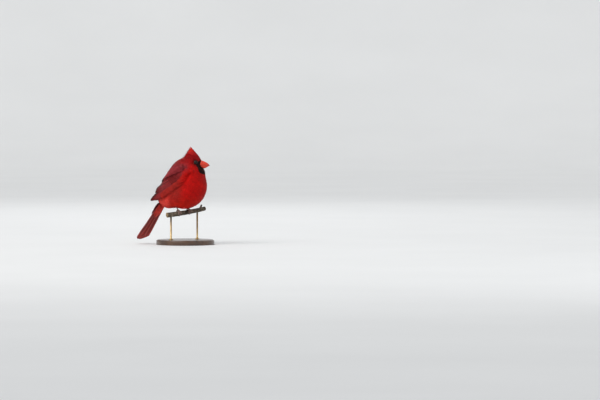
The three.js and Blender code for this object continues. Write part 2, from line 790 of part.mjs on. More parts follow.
// A rod with a collar at its foot. Its top stands in the branch.
function rodSolid(w, more = 0) {
  const foot = perchLine(w);
  const top = foot.z - 0.4 * perchRadius(w) + more;
  const bottom = BASE_HEIGHT + GAP;
  const profile = [
    [0, bottom],
    [5, bottom],
    [5, bottom + 1.4],
    [ROD_RADIUS + 0.6, bottom + 2.2],
    [ROD_RADIUS + more, bottom + 3],
    [ROD_RADIUS + more, top],
    [0, top],
  ].map(([r, z]) => new THREE.Vector2(r, z));
  return solidOf(new THREE.LatheGeometry(profile, 12).rotateX(Math.PI / 2).translate(foot.x, foot.y, 0));
}

// The bird

const bird = new THREE.Group();

function addPart(name, solid, colour, roughness, metalness = 0) {
  const material = new THREE.MeshStandardMaterial({ color: colour, roughness, metalness });
  const mesh = new THREE.Mesh(geometryOf(solid), material);
  mesh.name = name;
  bird.add(mesh);
}

const RED = 0xb3120f;
const DUSKY_RED = 0x6a211c;
const CORAL = 0xd9452c;
const HORN = 0x4a3530;
const BARK = 0x6d645a;

addPart("torso", makeTorso(), RED, 0.8);
addPart("neck", makeNeck(), RED, 0.8);
addPart("head", makeHead(), RED, 0.8);
addPart("crest", makeCrest(), RED, 0.8);
addPart("bill_upper", makeUpperBill(), CORAL, 0.45);
addPart("bill_lower", makeLowerBill(), CORAL, 0.45);
addPart("eye_right", makeEye(-1), 0x0c0806, 0.1);
addPart("eye_left", makeEye(1), 0x0c0806, 0.1);
addPart("wing_right", makeWing(-1), DUSKY_RED, 0.7);
addPart("wing_left", makeWing(1), DUSKY_RED, 0.7);
addPart("tail", makeTail(), DUSKY_RED, 0.7);
addPart("leg_right", makeLeg(-1), HORN, 0.6);
addPart("leg_left", makeLeg(1), HORN, 0.6);
addPart("perch", makePerch(), BARK, 0.9);
addPart("stand_base", makeBase(), 0x2b211b, 0.4);
addPart("stand_rod_near", rodSolid(ROD_PLACES[0]), 0xb08d4f, 0.3, 1);
addPart("stand_rod_far", rodSolid(ROD_PLACES[1]), 0xb08d4f, 0.3, 1);

export default bird;
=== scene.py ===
# The looks of a life-size male northern cardinal on a cut branch and a display stand.
# Shapes are worked out in millimetres, as numpy arrays, and become metres when a mesh is made.

from math import cos, pi, radians, sin
import bpy
import numpy as np
from mathutils import Matrix, Vector, noise
from mathutils.bvhtree import BVHTree


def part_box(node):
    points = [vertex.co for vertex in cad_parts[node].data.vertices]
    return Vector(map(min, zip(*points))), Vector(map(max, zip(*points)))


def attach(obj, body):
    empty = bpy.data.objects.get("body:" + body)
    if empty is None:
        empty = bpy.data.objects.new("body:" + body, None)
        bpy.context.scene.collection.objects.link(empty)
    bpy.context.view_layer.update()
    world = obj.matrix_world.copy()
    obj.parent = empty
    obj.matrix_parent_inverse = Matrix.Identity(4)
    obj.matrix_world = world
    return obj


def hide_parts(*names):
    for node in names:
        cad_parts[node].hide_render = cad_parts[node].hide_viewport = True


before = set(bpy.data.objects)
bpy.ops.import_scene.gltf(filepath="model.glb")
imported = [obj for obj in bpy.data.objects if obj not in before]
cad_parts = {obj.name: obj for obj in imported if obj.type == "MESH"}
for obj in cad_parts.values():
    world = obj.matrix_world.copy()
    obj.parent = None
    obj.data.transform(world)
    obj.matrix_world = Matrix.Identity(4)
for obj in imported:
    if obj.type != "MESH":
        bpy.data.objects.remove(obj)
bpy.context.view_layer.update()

MM = 0.001
rng = np.random.default_rng(7)

# The bird's main places and sizes, in millimetres
PERCH_TOP = 68.0
HEAD = np.array([16.6, 2.5, PERCH_TOP + 96.5])
HEAD_YAW = radians(12)
TORSO = np.array([0.0, 0.0, PERCH_TOP + 50])
WING_START = np.array([8.0, 0.0, PERCH_TOP + 56])
WING_SLOPE = radians(32)
WING_LENGTH = 94.0
TAIL_ROOT = np.array([-46.0, 0.0, PERCH_TOP + 22])
TAIL_SLOPE = radians(52.5)
TAIL_SWING = radians(20)
TAIL_ROLL = radians(4)
TAIL_LENGTH = 102.0
TAIL_EXIT = 16.0
PERCH_TURN = radians(52)
PERCH_RISE = 0.11
PERCH_RADIUS = 4.8
PERCH_ENDS = (-38.0, 56.0)
FEET_APART = 25.0
FEET_BEHIND = 4.5
GAP = 0.3
COAT_DEPTH = 2.6

SIDES = {-1: "right", 1: "left"}
FLESH = ("torso", "neck", "head")
UP = np.array([0.0, 0.0, 1.0])
HEAD_FRONT = np.array([cos(HEAD_YAW), sin(HEAD_YAW), 0.0])
HEAD_LEFT = np.array([-sin(HEAD_YAW), cos(HEAD_YAW), 0.0])


def unit(vectors):
    """Vectors of length one, along the last axis."""
    return vectors / np.maximum(np.linalg.norm(vectors, axis=-1, keepdims=True), 1e-9)


def lerp(a, b, share):
    return a + (b - a) * share


def smooth(low, high, value):
    """0 below low, 1 above high, and a soft step between."""
    t = np.clip((value - low) / (high - low), 0, 1)
    return t * t * (3 - 2 * t)


def on_head(front, left, up):
    return HEAD + front * HEAD_FRONT + left * HEAD_LEFT + up * UP


def in_head(points):
    """Points as front, left and up from the middle of the head."""
    off = points - HEAD
    return off @ HEAD_FRONT, off @ HEAD_LEFT, off @ UP


# Camera, light and floor

PICTURE = np.array([600, 400])
PIXEL = 2.0  # millimetres that a pixel of the photograph covers
AZIMUTH, ELEVATION = radians(15), radians(2)
FOOT_PIXEL = np.array([180.5, 210.5])
FOOT_PLACE = np.array([-10.0, 0.0, PERCH_TOP])
CAMERA_DISTANCE = 10000.0
SENSOR_WIDTH = 36.0
LIGHT_AIM = Vector((0, 0, 0.11))
# Each area light's place and size in metres, its power and its colour
AREA_LIGHTS = {
    "key": ((-0.9, -1.5, 1.7), 1.2, 9, (1.0, 0.98, 0.95)),
    "fill": ((1.7, -1.0, 0.9), 1.5, 4, (0.95, 0.97, 1.0)),
    "rear": ((-0.6, 1.7, 1.5), 1.4, 7, (0.97, 0.98, 1.0)),
    "top": ((0.1, 0.1, 2.2), 1.2, 2.5, (1.0, 1.0, 1.0)),
}
SUN_AIM = (0.45, 0.7, -0.8)
SKY, SKY_STRENGTH = (0.86, 0.89, 0.93, 1), 0.58
# The floor runs from near the camera to where it bends up into the backdrop, in millimetres past the bird.
FLOOR_NEAR, FLOOR_FAR, FLOOR_SIDE = -14000, 5000, 9000
BEND_RADIUS, BACKDROP_TOP = 3000, 9000


def camera_axes():
    right = np.array([cos(AZIMUTH), sin(AZIMUTH), 0.0])
    back = np.array([sin(AZIMUTH), -cos(AZIMUTH), 0.0]) * cos(ELEVATION) + UP * sin(ELEVATION)
    return right, np.cross(back, right), back


def make_camera():
    right, up, back = camera_axes()
    across, down = PICTURE / 2 - FOOT_PIXEL
    aim = FOOT_PLACE + right * across * PIXEL - up * down * PIXEL
    data = bpy.data.cameras.new("camera")
    data.sensor_width = SENSOR_WIDTH
    data.lens = SENSOR_WIDTH * CAMERA_DISTANCE / (PICTURE[0] * PIXEL)
    data.clip_end = 100
    camera = bpy.data.objects.new("camera", data)
    camera.location = (aim + back * CAMERA_DISTANCE) * MM
    camera.rotation_euler = Vector(back).to_track_quat("Z", "Y").to_euler()
    bpy.context.scene.collection.objects.link(camera)
    bpy.context.scene.camera = camera


def add_light(name, kind, place, aim, **settings):
    data = bpy.data.lights.new(name, kind)
    for key, value in settings.items():
        setattr(data, key, value)
    light = bpy.data.objects.new(name, data)
    light.location = place
    light.rotation_euler = Vector(aim).to_track_quat("-Z", "Y").to_euler()
    bpy.context.scene.collection.objects.link(light)


def make_lights():
    for name, (place, size, power, colour) in AREA_LIGHTS.items():
        add_light(name, "AREA", place, LIGHT_AIM - Vector(place), size=size, energy=power, color=colour)
    add_light("soft", "SUN", (0, 0, 0), SUN_AIM, energy=1.5, angle=radians(50))
    world = bpy.data.worlds.new("world")
    world.use_nodes = True
    background = world.node_tree.nodes["Background"]
    background.inputs["Color"].default_value = SKY
    background.inputs["Strength"].default_value = SKY_STRENGTH
    bpy.context.scene.world = world
    bpy.context.scene.view_settings.view_transform = "Standard"


def make_floor():
    """A floor that curves up into a backdrop, behind the bird as the camera sees it."""
    right, _, back = camera_axes()
    away = -unit(back * np.array([1, 1, 0]))
    bend = [(sin(a), 1 - cos(a)) for a in np.linspace(0.05, pi / 2, 24)]
    profile = [(FLOOR_NEAR, 0), (FLOOR_FAR, 0)]
    profile += [(FLOOR_FAR + BEND_RADIUS * x, BEND_RADIUS * z) for x, z in bend]
    profile += [(FLOOR_FAR + BEND_RADIUS, BACKDROP_TOP)]
    verts = [away * x + right * side + UP * z for x, z in profile for side in (-FLOOR_SIDE, FLOOR_SIDE)]
    faces = [(2 * i, 2 * i + 1, 2 * i + 3, 2 * i + 2) for i in range(len(profile) - 1)]
    mesh = bpy.data.meshes.new("floor")
    mesh.from_pydata([tuple(v * MM) for v in verts], [], faces)
    mesh.shade_smooth()
    mesh.materials.append(plain_material("floor", (0.78, 0.78, 0.77), 0.85))
    floor = bpy.data.objects.new("floor", mesh)
    bpy.context.scene.collection.objects.link(floor)


# Materials

WHITE = (1, 1, 1)


class Nodes:
    """A short way to build a material's nodes."""

    def __init__(self, name, **sockets):
        self.material = bpy.data.materials.new(name)
        self.material.use_nodes = True
        self.tree = self.material.node_tree
        self.shader = self.tree.nodes["Principled BSDF"]
        for socket, value in sockets.items():
            self.shader.inputs[socket.replace("_", " ")].default_value = value

    def add(self, kind, **settings):
        node = self.tree.nodes.new("ShaderNode" + kind)
        for key, value in settings.items():
            if key in node.bl_rna.properties:
                setattr(node, key, value)
            else:
                node.inputs[key.replace("_", " ")].default_value = value
        return node

    def link(self, source, target):
        self.tree.links.new(source, target)

    def set(self, socket, source):
        self.link(source, self.shader.inputs[socket])

    def noise(self, scale, detail=4.0, stretch=(1, 1, 1), roughness=0.5):
        place = self.add("TexCoord")
        mapping = self.add("Mapping", Scale=stretch)
        texture = self.add("TexNoise", Scale=scale, Detail=detail, Roughness=roughness)
        self.link(place.outputs["Object"], mapping.inputs["Vector"])
        self.link(mapping.outputs["Vector"], texture.inputs["Vector"])
        return texture.outputs["Fac"]

    def ramp(self, factor, *stops):
        node = self.add("ValToRGB")
        while len(node.color_ramp.elements) < len(stops):
            node.color_ramp.elements.new(0.5)
        for element, (place, colour) in zip(node.color_ramp.elements, stops):
            element.position = place
            element.color = (*colour, 1)
        self.link(factor, node.inputs["Fac"])
        return node.outputs["Color"]

    def vary_roughness(self, factor, low, high):
        node = self.add("MapRange", To_Min=low, To_Max=high)
        self.link(factor, node.inputs["Value"])
        self.set("Roughness", node.outputs["Result"])

    def paint(self, *layers):
        """The base colour: the colour painted on the mesh, times each layer."""
        colour = self.add("VertexColor", layer_name="tint").outputs["Color"]
        for layer in layers:
            node = self.add("Mix", data_type="RGBA", blend_type="MULTIPLY")
            node.inputs[0].default_value = 1.0
            self.link(colour, node.inputs[6])
            self.link(layer, node.inputs[7])
            colour = node.outputs[2]
        self.set("Base Color", colour)

    def bump(self, height, depth, strength):
        """Relief, its depth in millimetres."""
        node = self.add("Bump", Strength=strength, Distance=depth * MM)
        self.link(height, node.inputs["Height"])
        self.set("Normal", node.outputs["Normal"])


def plain_material(name, colour, roughness):
    nodes = Nodes(name, Roughness=roughness)
    shade = tuple(0.97 * c for c in colour)
    nodes.set("Base Color", nodes.ramp(nodes.noise(3), (0.3, shade), (0.7, colour)))
    return nodes.material


def plumage_material(name, roughness, sheen, mottling):
    """Soft feathers: their colour is painted on them, with a fine mottling on top."""
    nodes = Nodes(
        name, Roughness=roughness, Sheen_Weight=sheen, Sheen_Roughness=0.4, Sheen_Tint=(1, 0.3, 0.26, 1),
        Specular_IOR_Level=0.14, Specular_Tint=(1, 0.5, 0.45, 1),
    )
    fine = nodes.ramp(nodes.noise(900), (0.3, (mottling,) * 3), (0.7, WHITE))
    broad = nodes.ramp(nodes.noise(90), (0.3, (0.86, 0.84, 0.84)), (0.7, WHITE))
    nodes.paint(fine, broad)
    nodes.bump(nodes.noise(2200, stretch=(1, 1, 0.4)), 0.08, 0.5)
    return nodes.material


def vane_material(name):
    """Flight feathers: barbs run slantwise from the shaft, as fine ridges."""
    nodes = Nodes(
        name, Roughness=0.5, Sheen_Weight=0.06, Sheen_Tint=(1, 0.5, 0.45, 1), Specular_IOR_Level=0.1,
        Specular_Tint=(1, 0.6, 0.55, 1),
    )
    place = nodes.add("UVMap", uv_map="vane")
    barbs = nodes.add("TexWave", Scale=1.0, Distortion=1.2, Detail=2.0, Detail_Scale=0.6)
    nodes.link(place.outputs["UV"], barbs.inputs["Vector"])
    shade = nodes.ramp(barbs.outputs["Fac"], (0.0, (0.74, 0.72, 0.72)), (0.6, WHITE))
    broad = nodes.ramp(nodes.noise(160), (0.3, (0.85, 0.83, 0.83)), (0.7, WHITE))
    nodes.paint(shade, broad)
    nodes.bump(barbs.outputs["Fac"], 0.06, 0.6)
    return nodes.material


def bill_material():
    nodes = Nodes("bill", Roughness=0.34, Coat_Weight=0.15, Coat_Roughness=0.2, Specular_IOR_Level=0.35)
    growth = nodes.noise(260, stretch=(0.35, 1, 1))
    nodes.paint(nodes.ramp(growth, (0.3, (0.82, 0.74, 0.7)), (0.7, WHITE)))
    nodes.vary_roughness(nodes.noise(600), 0.28, 0.46)
    nodes.bump(growth, 0.12, 0.35)
    return nodes.material


def eye_material():
    nodes = Nodes("eye", Roughness=0.05, Specular_IOR_Level=0.4, IOR=1.36)
    nodes.paint(nodes.ramp(nodes.noise(1500), (0.35, (0.55, 0.5, 0.45)), (0.65, WHITE)))
    return nodes.material


def scaly_material(name, dark, light):
    nodes = Nodes(name, Roughness=0.5, Specular_IOR_Level=0.4)
    nodes.paint(nodes.ramp(nodes.noise(500), (0.3, dark), (0.7, light)))
    cells = nodes.add("TexVoronoi", Scale=1600.0)
    nodes.link(nodes.add("TexCoord").outputs["Object"], cells.inputs["Vector"])
    nodes.bump(cells.outputs["Distance"], 0.08, 0.5)
    return nodes.material


def claw_material():
    nodes = Nodes("claw", Roughness=0.3, Coat_Weight=0.2)
    tone = nodes.ramp(nodes.noise(700), (0.3, (0.02, 0.015, 0.012)), (0.75, (0.07, 0.05, 0.04)))
    nodes.set("Base Color", tone)
    nodes.bump(nodes.noise(1500, stretch=(0.4, 1, 1)), 0.05, 0.4)
    return nodes.material


def bark_material():
    nodes = Nodes("bark", Roughness=0.9, Specular_IOR_Level=0.2)
    patches = nodes.ramp(
        nodes.noise(120, 8, roughness=0.65), (0.32, (0.3, 0.26, 0.22)), (0.48, (0.75, 0.7, 0.62)),
        (0.62, (1.3, 1.28, 1.15)), (0.78, (1.75, 1.8, 1.5)),
    )
    furrows = nodes.noise(420, 5, stretch=(0.5, 0.5, 1.6))
    nodes.paint(patches, nodes.ramp(furrows, (0.36, (0.35, 0.32, 0.3)), (0.5, WHITE)))
    nodes.bump(nodes.noise(520, 8, roughness=0.7), 0.9, 0.9)
    return nodes.material


def wood_material():
    nodes = Nodes("stand wood", Roughness=0.35, Coat_Weight=0.4, Coat_Roughness=0.15)
    grain = nodes.noise(120, 8, stretch=(0.08, 1, 1), roughness=0.6)
    stops = (0.3, (0.03, 0.013, 0.007)), (0.55, (0.085, 0.04, 0.02)), (0.8, (0.14, 0.07, 0.035))
    nodes.set("Base Color", nodes.ramp(grain, *stops))
    nodes.vary_roughness(grain, 0.28, 0.45)
    nodes.bump(grain, 0.12, 0.3)
    return nodes.material


def brass_material():
    nodes = Nodes("stand brass", Metallic=1.0, Roughness=0.3)
    tarnish = nodes.ramp(nodes.noise(220), (0.35, (0.42, 0.27, 0.1)), (0.65, (0.62, 0.43, 0.18)))
    nodes.set("Base Color", tarnish)
    nodes.vary_roughness(nodes.noise(900, stretch=(1, 1, 0.05)), 0.22, 0.42)
    return nodes.material


# Meshes

def new_piece(name, verts, faces, material, slot, replaces=(), tint=None, uvs=None):
    """A piece that rides the root, from vertices in millimetres.

    Its faces are an index array where all have as many sides, or else a list. tint is a colour for each
    vertex, and uvs holds a place for each vertex under each map's name.
    """
    mesh = bpy.data.meshes.new(name)
    if isinstance(faces, np.ndarray):
        count, sides = faces.shape
        mesh.vertices.add(len(verts))
        mesh.vertices.foreach_set("co", (verts * MM).astype(np.float32).ravel())
        mesh.loops.add(count * sides)
        mesh.loops.foreach_set("vertex_index", faces.astype(np.int32).ravel())
        mesh.polygons.add(count)
        mesh.polygons.foreach_set("loop_start", np.arange(0, count * sides, sides, dtype=np.int32))
        mesh.update(calc_edges=True)
    else:
        mesh.from_pydata([tuple(v) for v in np.asarray(verts) * MM], [], faces)
    corners = np.empty(len(mesh.loops), dtype=np.int32)
    mesh.loops.foreach_get("vertex_index", corners)
    if tint is not None:
        layer = mesh.color_attributes.new("tint", "FLOAT_COLOR", "POINT")
        rgba = np.ones((len(mesh.vertices), 4), dtype=np.float32)
        rgba[:, :3] = tint
        layer.data.foreach_set("color", rgba.ravel())
    for uv_name, places in (uvs or {}).items():
        layer = mesh.uv_layers.new(name=uv_name)
        layer.data.foreach_set("uv", places[corners].astype(np.float32).ravel())
    mesh.shade_smooth()
    mesh.materials.append(MATERIALS[material])
    piece = bpy.data.objects.new(name, mesh)
    bpy.context.scene.collection.objects.link(piece)
    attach(piece, "root")
    if replaces:
        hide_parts(*replaces)
    return piece


def mesh_arrays(mesh):
    """Vertices in millimetres, vertex normals, and triangles."""
    mesh.calc_loop_triangles()
    arrays = []
    for items, field, kind in (
        (mesh.vertices, "co", np.float32),
        (mesh.vertices, "normal", np.float32),
        (mesh.loop_triangles, "vertices", np.int32),
    ):
        values = np.empty(len(items) * 3, dtype=kind)
        items.foreach_get(field, values)
        arrays.append(values.reshape(-1, 3))
    verts, normals, triangles = arrays
    return verts / MM, normals, triangles


def search_tree(*meshes):
    """A search tree over meshes, in millimetres."""
    all_verts, all_faces, start = [], [], 0
    for mesh in meshes:
        verts, _, faces = mesh_arrays(mesh)
        all_verts.append(verts)
        all_faces.append(faces + start)
        start += len(verts)
    return BVHTree.FromPolygons(np.vstack(all_verts).tolist(), np.vstack(all_faces).tolist())


def remeshed(names, voxel, rounds, shifts=((0.0, 0.0, 0.0),)):
    """CAD nodes, at each shift, joined into one smooth closed skin: vertices, normals and triangles."""
    copies = []
    for name in names:
        for shift in shifts:
            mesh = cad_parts[name].data.copy()
            mesh.transform(Matrix.Translation(Vector(shift) * MM))
            copy = bpy.data.objects.new("copy", mesh)
            bpy.context.scene.collection.objects.link(copy)
            copies.append(copy)
    with bpy.context.temp_override(active_object=copies[0], selected_editable_objects=copies):
        bpy.ops.object.join()
    merged = copies[0]
    remesh = merged.modifiers.new("remesh", "REMESH")
    remesh.mode = "VOXEL"
    remesh.voxel_size = voxel * MM
    relax = merged.modifiers.new("relax", "SMOOTH")
    relax.factor = 0.5
    relax.iterations = rounds
    done = merged.evaluated_get(bpy.context.evaluated_depsgraph_get())
    mesh = bpy.data.meshes.new_from_object(done)
    bpy.data.objects.remove(merged)
    arrays = mesh_arrays(mesh)
    bpy.data.meshes.remove(mesh)
    return arrays


def grid_faces(rows, columns, closed=False, start=0):
    """Quads over a grid of vertices, joined round its columns where closed."""
    faces = []
    for i in range(rows - 1):
        for k in range(columns if closed else columns - 1):
            a, b = i * columns + k, i * columns + (k + 1) % columns
            faces.append((start + a, start + b, start + b + columns, start + a + columns))
    return faces


def tube_faces(rings, sides):
    """Quads along a tube of rings, and a face over each end."""
    last = (rings - 1) * sides
    ends = [tuple(range(sides))[::-1], tuple(range(last, last + sides))]
    return grid_faces(rings, sides, closed=True) + ends


def around(count):
    """Turns once round, the last one short of the first."""
    return np.linspace(0, 2 * pi, count, endpoint=False)


def tube(path, radii, sides):
    """A round tube through a path, with closed ends: vertices and faces."""
    path = np.asarray(path, dtype=float)
    turns = around(sides)[:, None]
    across = np.array([0.31, 0.87, 0.38])
    verts = []
    for p, t, r in zip(path, unit(np.gradient(path, axis=0)), radii):
        across = unit(across - t * (across @ t))
        ring = np.cos(turns) * across + np.sin(turns) * np.cross(t, across)
        verts.extend(p + np.asarray(r).reshape(-1, 1) * ring)
    return np.array(verts), tube_faces(len(path), sides)


def joined(parts):
    """Vertices and faces of several parts as one list."""
    faces, start = [], 0
    for part_verts, part_faces in parts:
        faces.extend(tuple(v + start for v in face) for face in part_faces)
        start += len(part_verts)
    return np.vstack([part_verts for part_verts, _ in parts]), faces


def lathe(profile, sides, middle):
    """A solid turned about a vertical line: vertices and faces."""
    verts = [middle + np.array([r * cos(a), r * sin(a), z]) for r, z in profile for a in around(sides)]
    return np.array(verts), tube_faces(len(profile), sides)


def skin_place(points):
    """Where points lie on the body's own unwrap: turn and height about its middle, both from 0 to 1."""
    way = unit(points - TORSO)
    turn = np.arctan2(way[:, 1], way[:, 0]) / (2 * pi) + 0.5
    height = np.arcsin(np.clip(way[:, 2], -1, 1)) / pi + 0.5
    return np.stack([0.01 + 0.98 * turn, 0.01 + 0.98 * height], axis=1)


# Colours of the plumage, linear

CROWN = np.array([0.33, 0.003, 0.005])
BREAST = np.array([0.58, 0.005, 0.004])
BELLY = np.array([0.62, 0.012, 0.005])
FLANK = np.array([0.33, 0.016, 0.012])
BACK = np.array([0.3, 0.024, 0.031])
# Bright salmon under the tail: partly the coverts' own colour, partly painted light on the underside
UNDERTAIL_WITH_PAINTED_LIGHT = np.array([0.85, 0.06, 0.045])
MASK = np.array([0.007, 0.006, 0.006])
DOWN = np.array([0.11, 0.03, 0.03])
QUILL = np.array([0.07, 0.009, 0.008])
QUILL_EDGE = np.array([0.34, 0.014, 0.015])
ROSY_EDGE = np.array([0.42, 0.035, 0.04])
TAIL_MIDDLE = np.array([0.3, 0.036, 0.032])
TAIL_EDGE = np.array([0.62, 0.1, 0.085])
QUILL_DARK = np.array([0.03, 0.005, 0.005])
# Lighter orange-red for the crest's tips: painted light, as if shining through them
CREST_TIP_PAINTED_LIGHT = np.array([0.62, 0.016, 0.008])
BRIGHTER = np.array([1.12, 1.3, 1.25])


def blend(a, b, share):
    return a + (b - a) * np.asarray(share)[..., None]


# The black mask is two rounds. Each has its middle and half sizes: forward, left and up in the head.
LORES = (16, 0, -4.5), (10.5, 40, 7.6)
THROAT = (19, 0, -13.5), (11.5, 26, 10.5)


def mask_share(points):
    """1 in the black mask round the bill and on the throat, 0 outside it."""
    spots = np.stack(in_head(points), axis=1)
    lores, throat = (np.sum(((spots - middle) / half) ** 2, axis=1) for middle, half in (LORES, THROAT))
    return 1 - smooth(0.88, 1.1, np.minimum(lores, throat))


def plumage_colour(points):
    """The colour of the plumage at each point."""
    up = in_head(points)[2]
    x, y, z = points.T
    colour = blend(BREAST, BELLY, smooth(105, 82, z))
    colour = blend(colour, FLANK, smooth(15, -8, x) * smooth(78, 104, z) * 0.9)
    wing_up = (points - WING_START) @ WING_ABOVE
    tail_up = (points - TAIL_ROOT) @ TAIL_ABOVE
    upper = np.maximum(smooth(12, 26, wing_up), smooth(-3, 5, tail_up) * smooth(-26, -38, x))
    colour = blend(colour, BACK, upper * smooth(22, 6, x) * smooth(172, 158, z))
    # Under the tail's root the colour turns bright salmon: partly its own colour, partly painted light on the
    # underside
    colour = blend(colour, UNDERTAIL_WITH_PAINTED_LIGHT, smooth(-18, -30, x) * smooth(100, 86, z) * smooth(3, -5, tail_up))
    colour = blend(colour, CROWN, smooth(-6, 8, up) * smooth(32, 24, np.linalg.norm(points - HEAD, axis=1)))
    colour = colour * (1 + 0.1 * np.sin(x * 0.31 + z * 0.17) * np.sin(y * 0.23 + z * 0.4))[:, None]
    return blend(colour, MASK, mask_share(points))


def turned(vector, axis, angle):
    """A vector turned about an axis."""
    kept = axis * (axis @ vector) * (1 - cos(angle))
    return vector * cos(angle) + np.cross(axis, vector) * sin(angle) + kept


TAIL_ALONG = np.array([-cos(TAIL_SWING), sin(TAIL_SWING), 0]) * cos(TAIL_SLOPE) - UP * sin(TAIL_SLOPE)
TAIL_SIDE = turned(np.array([-sin(TAIL_SWING), -cos(TAIL_SWING), 0]), TAIL_ALONG, TAIL_ROLL)
TAIL_ABOVE = np.cross(TAIL_ALONG, TAIL_SIDE)
WING_ALONG = np.array([-cos(WING_SLOPE), 0, -sin(WING_SLOPE)])
WING_ABOVE = np.array([-sin(WING_SLOPE), 0, cos(WING_SLOPE)])
CREST_WAY = -0.42 * HEAD_FRONT + 0.9 * UP
FACE = on_head(17, 0, -5)


def face_distance(points):
    return np.linalg.norm(points - FACE, axis=1)


def crest_share(points):
    """1 on the crown where the crest rises, and on the crest, and 0 away from it."""
    front, left, up = in_head(points)
    return smooth(1, 8, up) * smooth(14, 6, np.abs(left)) * smooth(-15, -5, front)


def lie(points, normals):
    """The way the plumage points: away from the bill on the head, up the crest, and back on the body."""
    back = unit(TAIL_ROOT + 24 * TAIL_ALONG - points)
    from_face = unit(points - FACE)
    share = np.exp(-((face_distance(points) / 26) ** 2))[:, None]
    way = back * (1 - share) + from_face * share
    to_crest = CREST_WAY - np.outer(in_head(points)[1] * 0.04, HEAD_LEFT)
    way = lerp(way, to_crest, 0.85 * crest_share(points)[:, None])
    return unit(way - normals * np.sum(way * normals, axis=1)[:, None])


# Skin and body feathers

EYES = {}
for side, side_name in SIDES.items():
    low, high = (np.array(corner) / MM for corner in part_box(f"eye_{side_name}"))
    EYES[f"eye_{side_name}"] = {
        "middle": (low + high) / 2,
        "radius": (high - low)[2] / 2,
        "outward": unit(0.9 * side * HEAD_LEFT + 0.43 * HEAD_FRONT + 0.02 * UP),
    }


def in_eye(eye, points):
    """How far points are ahead of an eye's middle, and their way aside from its line of sight."""
    off = points - eye["middle"]
    forward = off @ eye["outward"]
    return forward, off - forward[:, None] * eye["outward"]


def eye_distance(points):
    """How far points are from the nearer eye's line of sight, where they are ahead of it."""
    nearest = np.full(len(points), 1e3)
    for eye in EYES.values():
        forward, aside = in_eye(eye, points)
        nearest = np.minimum(nearest, np.where(forward > -1, np.linalg.norm(aside, axis=1), 1e3))
    return nearest


def coat_depth(points):
    """The plumage is thin on the face and thick on the body."""
    return lerp(0.9, COAT_DEPTH, smooth(8, 34, face_distance(points)))


def without_rims(verts, normals):
    """The head without the bulges of its eyes and lids, which are pieces of their own."""
    for eye in EYES.values():
        forward, radial = in_eye(eye, verts)
        aside = np.linalg.norm(radial, axis=1)
        near = smooth(6.6, 5.6, aside) * (forward > 0)
        excess = np.maximum(forward - 2.6 + aside**2 / 30, 0) * near
        verts = verts - excess[:, None] * eye["outward"]
        normals = unit(lerp(normals, unit(eye["outward"] + radial / 15), 0.9 * near[:, None]))
    return verts, normals


def bared_bill(points):
    """Points of the face drawn back from the sides of the bill, so that its base shows."""
    front, _, up = in_head(points)
    back = np.maximum(front - 8, 0) * 0.36 * np.exp(-(((up + 4.5) / 6.5) ** 2))
    return points - back[:, None] * HEAD_FRONT


def make_skin(hull):
    verts, normals, triangles = hull
    inner = verts - normals * coat_depth(verts)[:, None]
    tint = blend(plumage_colour(verts), DOWN, 0.45 * (1 - mask_share(verts)))
    new_piece("skin", inner, triangles, "skin", "plumage", FLESH, tint, {"OFBake": skin_place(inner)})


TRIES = 4  # random places tried for each one that fits


def scatter(hull, spacing):
    """Places on the hull at least a spacing apart, which varies by place: points and normals."""
    verts, normals, triangles = hull
    corners = verts[triangles]
    area = np.linalg.norm(np.cross(corners[:, 1] - corners[:, 0], corners[:, 2] - corners[:, 0]), axis=1) / 2
    weight = area / spacing(corners.mean(axis=1)) ** 2
    count = int(weight.sum() * TRIES)
    picks = rng.choice(len(triangles), count, p=weight / weight.sum())
    a, b = rng.random((2, count))
    a, b = np.where(a + b > 1, 1 - a, a), np.where(a + b > 1, 1 - b, b)
    shares = np.stack([1 - a - b, a, b], axis=1)[:, :, None]
    points = (corners[picks] * shares).sum(axis=1)
    facing = unit((normals[triangles[picks]] * shares).sum(axis=1))
    reach = spacing(points)
    cell = reach.max()
    taken, keep = {}, []
    for i, (p, r) in enumerate(zip(points, reach)):
        home = tuple((p // cell).astype(int))
        near = (
            other
            for dx in (-1, 0, 1) for dy in (-1, 0, 1) for dz in (-1, 0, 1)
            for other in taken.get((home[0] + dx, home[1] + dy, home[2] + dz), ())
        )
        if all((p[0] - q[0]) ** 2 + (p[1] - q[1]) ** 2 + (p[2] - q[2]) ** 2 > r * r for q in near):
            taken.setdefault(home, []).append(p)
            keep.append(i)
    return points[keep], facing[keep]


def drape(tree, points, outs):
    """The nearest places on a tree, and the way out there."""
    places, normals = points.copy(), outs.copy()
    for i, p in enumerate(points):
        places[i], normals[i], _, _ = tree.find_nearest(p)
    normals[np.sum(normals * outs, axis=1) < 0] *= -1
    return places, unit(0.5 * normals + 0.5 * outs)


# Each barb of a feather is a narrow strip in four steps. These are its steps along, its width at each, and
# how far out it is there, as a share of its place in the fan.
BARB_STEPS = np.array([0.0, 0.45, 0.8, 1.0])
BARB_WIDTHS = np.array([0.7, 1.0, 0.75, 0.0])
FAN = np.array([0.3, 0.85, 1.0, 0.96])
# A strip has three vertices on its left, three on its right and one at its tip.
STRIP_FACES = np.array([[0, 3, 4], [0, 4, 1], [1, 4, 5], [1, 5, 2], [2, 5, 6]])
STRIP_PLACES = np.array([0, 0.4, 0.8, 0, 0.4, 0.8, 1])
STRIP_TONES = [0, 1, 2, 0, 1, 2, 2]
BARB_OVERLAP = 1.35
FEATHER_CUP = 0.22


